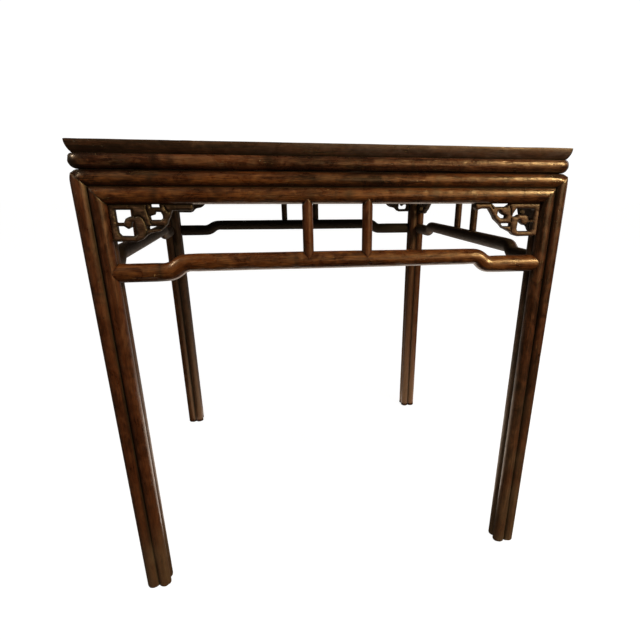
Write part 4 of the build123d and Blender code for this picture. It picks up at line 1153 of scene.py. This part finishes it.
PATTERNS = {key: flat_scroll(*value) for key, value in SCROLLS.items()}
for hand, s in (("left", -1), ("right", 1)):
    for k, side in enumerate(SIDES):
        v, tri, border, edge, cut = PATTERNS["back" if side == "back" else hand]
        n = len(v)
        ring = np.unique(border)
        where = np.full(n, -1)
        where[ring] = np.arange(len(ring))
        seed = 121 + 3 * k + (0 if s < 0 else 20)
        uneven = 0.16 * (1 + noise(v[:, 0] / 14, v[:, 1] / 14, seed, seed))
        uneven = uneven + 0.5 * smooth(0.45, 0.8, noise(v[:, 0] / 4.5, v[:, 1] / 4.5, seed, seed + 1))
        face = SPANDREL_FRONT - relief(edge, cut) - uneven
        sets = [(plate_uv(v, face), face)]
        for depth in (405.6, 402.6, 399.6):
            sets.append((plate_uv(v[ring], np.full(len(ring), depth)), np.full(len(ring), depth)))
        back = SPANDREL_BACK + 1.1 * np.exp(-((edge / 1.1) ** 2)) + 0.1 * uneven
        sets.append((plate_uv(v, back), back))
        co = np.concatenate([
            np.stack([s * (SPANDREL_U - uv[:, 0]), -dep, SPANDREL_V - uv[:, 1]], 1) for uv, dep in sets
        ])
        faces, base = [tri], [0]
        for uv, dep in sets:
            base.append(base[-1] + len(uv))
        last = base[-2]
        faces.append(tri[:, ::-1] + last)
        chain = [border] + [np.stack([where[border[:, 0]], where[border[:, 1]]], 1) + b for b in base[1:-2]]
        chain.append(border + last)
        for p, q in zip(chain[:-1], chain[1:]):
            faces.append(np.stack([p[:, 1], p[:, 0], q[:, 0]], 1))
            faces.append(np.stack([p[:, 1], q[:, 0], q[:, 1]], 1))
        faces = np.concatenate(faces)
        alls = np.concatenate([uv for uv, dep in sets])
        depths = np.concatenate([dep for uv, dep in sets])
        m = len(co) - 2 * n
        fronts = np.concatenate([np.ones(n), np.full(m, 0.5), np.zeros(n)])
        joint = np.minimum(alls[:, 0] - JU, alls[:, 1] - JV)
        cuts_near = np.concatenate([np.exp(-((cut / 1.0) ** 2)), np.zeros(m + n)])
        groove = np.maximum(np.exp(-((np.clip(joint, 0, None) / 1.8) ** 2)), cuts_near)
        # painted light and shade: the front left spandrel is coloured darker and the front right one lighter, the front
        # face darkens at the strand edges and cut lines, and the walls of the openings and the back are darkened as
        # shaded faces
        fields = {
            "groove": np.clip(groove, 0, 1),
            "crown": np.concatenate([smooth(0.8, 4.4, np.minimum(edge, cut)), np.full(m, 0.2), np.zeros(n)]),
            "inside": np.clip(1.0 - fronts, 0, 0.9),
            "tone_and_light": np.full(len(co), ((-0.15, 0.10), (-0.06, 0.0), (-0.08, -0.05), (0.0, -0.02))[k][s > 0]),
            "shade": np.concatenate([0.45 * np.exp(-((np.minimum(edge, cut) / 1.5) ** 2)), np.full(m, 0.3), np.zeros(n)]),
        }
        grain = np.stack([alls[:, 0] + seed * 731.0, alls[:, 1] + seed * 91.0, depths], 1)
        build(
            f"{side}_{hand}_spandrel_wood", turned(co, k), faces, [], fields, f"{side}_{hand}_spandrel",
            scroll_wood, grain,
        )

# =============================================================== pegs and dowels stay as they are
for node in ("spandrel_pegs", "bead_strip_dowels"):
    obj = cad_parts[node]
    obj.data.materials.clear()
    obj.data.materials.append(peg_wood)

# =============================================================== floor, light and air
floor_mat = bpy.data.materials.new("studio_floor")
floor_mat.use_nodes = True
nt = floor_mat.node_tree
nt.nodes.clear()
diff = nt.nodes.new("ShaderNodeBsdfDiffuse")
diff.inputs["Color"].default_value = (0.22, 0.22, 0.22, 1)
glow = nt.nodes.new("ShaderNodeEmission")
glow.inputs["Color"].default_value = (1.0, 1.0, 1.0, 1)
glow.inputs["Strength"].default_value = 0.94
both = nt.nodes.new("ShaderNodeAddShader")
clear = nt.nodes.new("ShaderNodeBsdfTransparent")
geo = nt.nodes.new("ShaderNodeNewGeometry")
pick = nt.nodes.new("ShaderNodeMixShader")
out = nt.nodes.new("ShaderNodeOutputMaterial")
nt.links.new(diff.outputs[0], both.inputs[0])
nt.links.new(glow.outputs[0], both.inputs[1])
nt.links.new(geo.outputs["Backfacing"], pick.inputs[0])
nt.links.new(both.outputs[0], pick.inputs[1])
nt.links.new(clear.outputs[0], pick.inputs[2])
nt.links.new(pick.outputs[0], out.inputs[0])
floor_mesh = bpy.data.meshes.new("studio_floor")
ring = [(30 * math.cos(a), 30 * math.sin(a), -0.0004) for a in np.linspace(0, 2 * math.pi, 96, endpoint=False)]
floor_mesh.from_pydata(ring, [], [tuple(range(96))])
floor_mesh.materials.append(floor_mat)
floor = bpy.data.objects.new("studio_floor", floor_mesh)
scene.collection.objects.link(floor)
floor.visible_diffuse = False
floor.visible_glossy = False

world = bpy.data.worlds.new("studio")
scene.world = world
world.use_nodes = True
wt = world.node_tree
wt.nodes.clear()
coord = wt.nodes.new("ShaderNodeTexCoord")
sep = wt.nodes.new("ShaderNodeSeparateXYZ")
ramp = wt.nodes.new("ShaderNodeValToRGB")
half = wt.nodes.new("ShaderNodeMath")
half.operation = "MULTIPLY_ADD"
half.inputs[1].default_value = 0.5
half.inputs[2].default_value = 0.5
ramp.color_ramp.elements[0].position = 0.30
ramp.color_ramp.elements[0].color = (0.040, 0.036, 0.032, 1)
ramp.color_ramp.elements[1].position = 0.85
ramp.color_ramp.elements[1].color = (0.32, 0.31, 0.29, 1)
dim = wt.nodes.new("ShaderNodeBackground")
dim.inputs["Strength"].default_value = 1.0
pale = wt.nodes.new("ShaderNodeBackground")
pale.inputs["Color"].default_value = (1, 1, 1, 1)
pale.inputs["Strength"].default_value = 1.05
path = wt.nodes.new("ShaderNodeLightPath")
wmix = wt.nodes.new("ShaderNodeMixShader")
wout = wt.nodes.new("ShaderNodeOutputWorld")
wt.links.new(coord.outputs["Generated"], sep.inputs[0])
wt.links.new(sep.outputs["Z"], half.inputs[0])
wt.links.new(half.outputs[0], ramp.inputs[0])
wt.links.new(ramp.outputs[0], dim.inputs["Color"])
glint = wt.nodes.new("ShaderNodeBackground")
glint.inputs["Color"].default_value = (1.0, 0.80, 0.62, 1)
glint.inputs["Strength"].default_value = 0.068
gmix = wt.nodes.new("ShaderNodeMixShader")
wt.links.new(path.outputs["Is Glossy Ray"], gmix.inputs[0])
wt.links.new(dim.outputs[0], gmix.inputs[1])
wt.links.new(glint.outputs[0], gmix.inputs[2])
wt.links.new(path.outputs["Is Camera Ray"], wmix.inputs[0])
wt.links.new(gmix.outputs[0], wmix.inputs[1])
wt.links.new(pale.outputs[0], wmix.inputs[2])
wt.links.new(wmix.outputs[0], wout.inputs[0])


def soft_light(name, at, aim, size, power, colour, diffuse=True, glossy=True):
    data = bpy.data.lights.new(name, "AREA")
    data.shape = "RECTANGLE"
    data.size, data.size_y = size
    data.energy = power
    data.color = colour
    o = bpy.data.objects.new(name, data)
    o.location = at
    o.rotation_mode = "QUATERNION"
    o.rotation_quaternion = (Vector(aim) - Vector(at)).to_track_quat("-Z", "Y")
    o.visible_camera = False
    o.visible_diffuse = diffuse
    o.visible_glossy = glossy
    scene.collection.objects.link(o)
    return o


soft_light("window_light", (1.82, -2.30, 2.12), (0.3, -0.4, 0.75), (0.46, 0.46), 56.0, (1.0, 0.87, 0.66), glossy=False)
soft_light("window_gleam", (2.22, -2.30, 2.08), (0.35, -0.4, 0.75), (0.28, 1.0), 168.0, (1.0, 0.84, 0.54), diffuse=False)
soft_light("room_glow", (0.98, -2.4, 0.86), (0.2, -0.4, 0.72), (1.2, 0.6), 6.6, (1.0, 0.86, 0.72), diffuse=False)
soft_light("sky_light", (-0.3, -1.45, 3.1), (0.0, -0.25, 0.6), (2.0, 1.3), 26.0, (1.0, 0.93, 0.84), glossy=False)
soft_light("side_light", (2.5, 0.9, 1.2), (0.0, 0.1, 0.55), (1.2, 1.4), 9.0, (1.0, 0.93, 0.86))
soft_light("back_panel", (1.30, 2.7, 0.55), (0.2, 0.0, 0.6), (1.5, 1.3), 1.0, (1.0, 0.94, 0.90), diffuse=False)
soft_light("left_sheen", (-2.2, -1.6, 2.2), (0.0, -0.4, 0.6), (1.2, 0.8), 2.2, (1.0, 0.79, 0.60), diffuse=False)
soft_light("floor_glare", (0.2, 0.1, 0.01), (0.2, 0.1, 1.0), (1.2, 0.7), 6.2, (1.0, 0.90, 0.82), diffuse=False)
soft_light("floor_far", (0.4, 1.3, 0.01), (0.4, 1.3, 1.0), (1.7, 1.7), 4.2, (1.0, 0.92, 0.86), diffuse=False)
soft_light("left_glint", (-2.13, -0.95, 2.27), (-0.41, -0.41, 0.83), (0.2, 0.2), 45.0, (1.0, 0.97, 0.92), diffuse=False)

scene.view_settings.view_transform = "Standard"
scene.view_settings.look = "None"
scene.view_settings.exposure = 0.0
scene.view_settings.gamma = 1.0
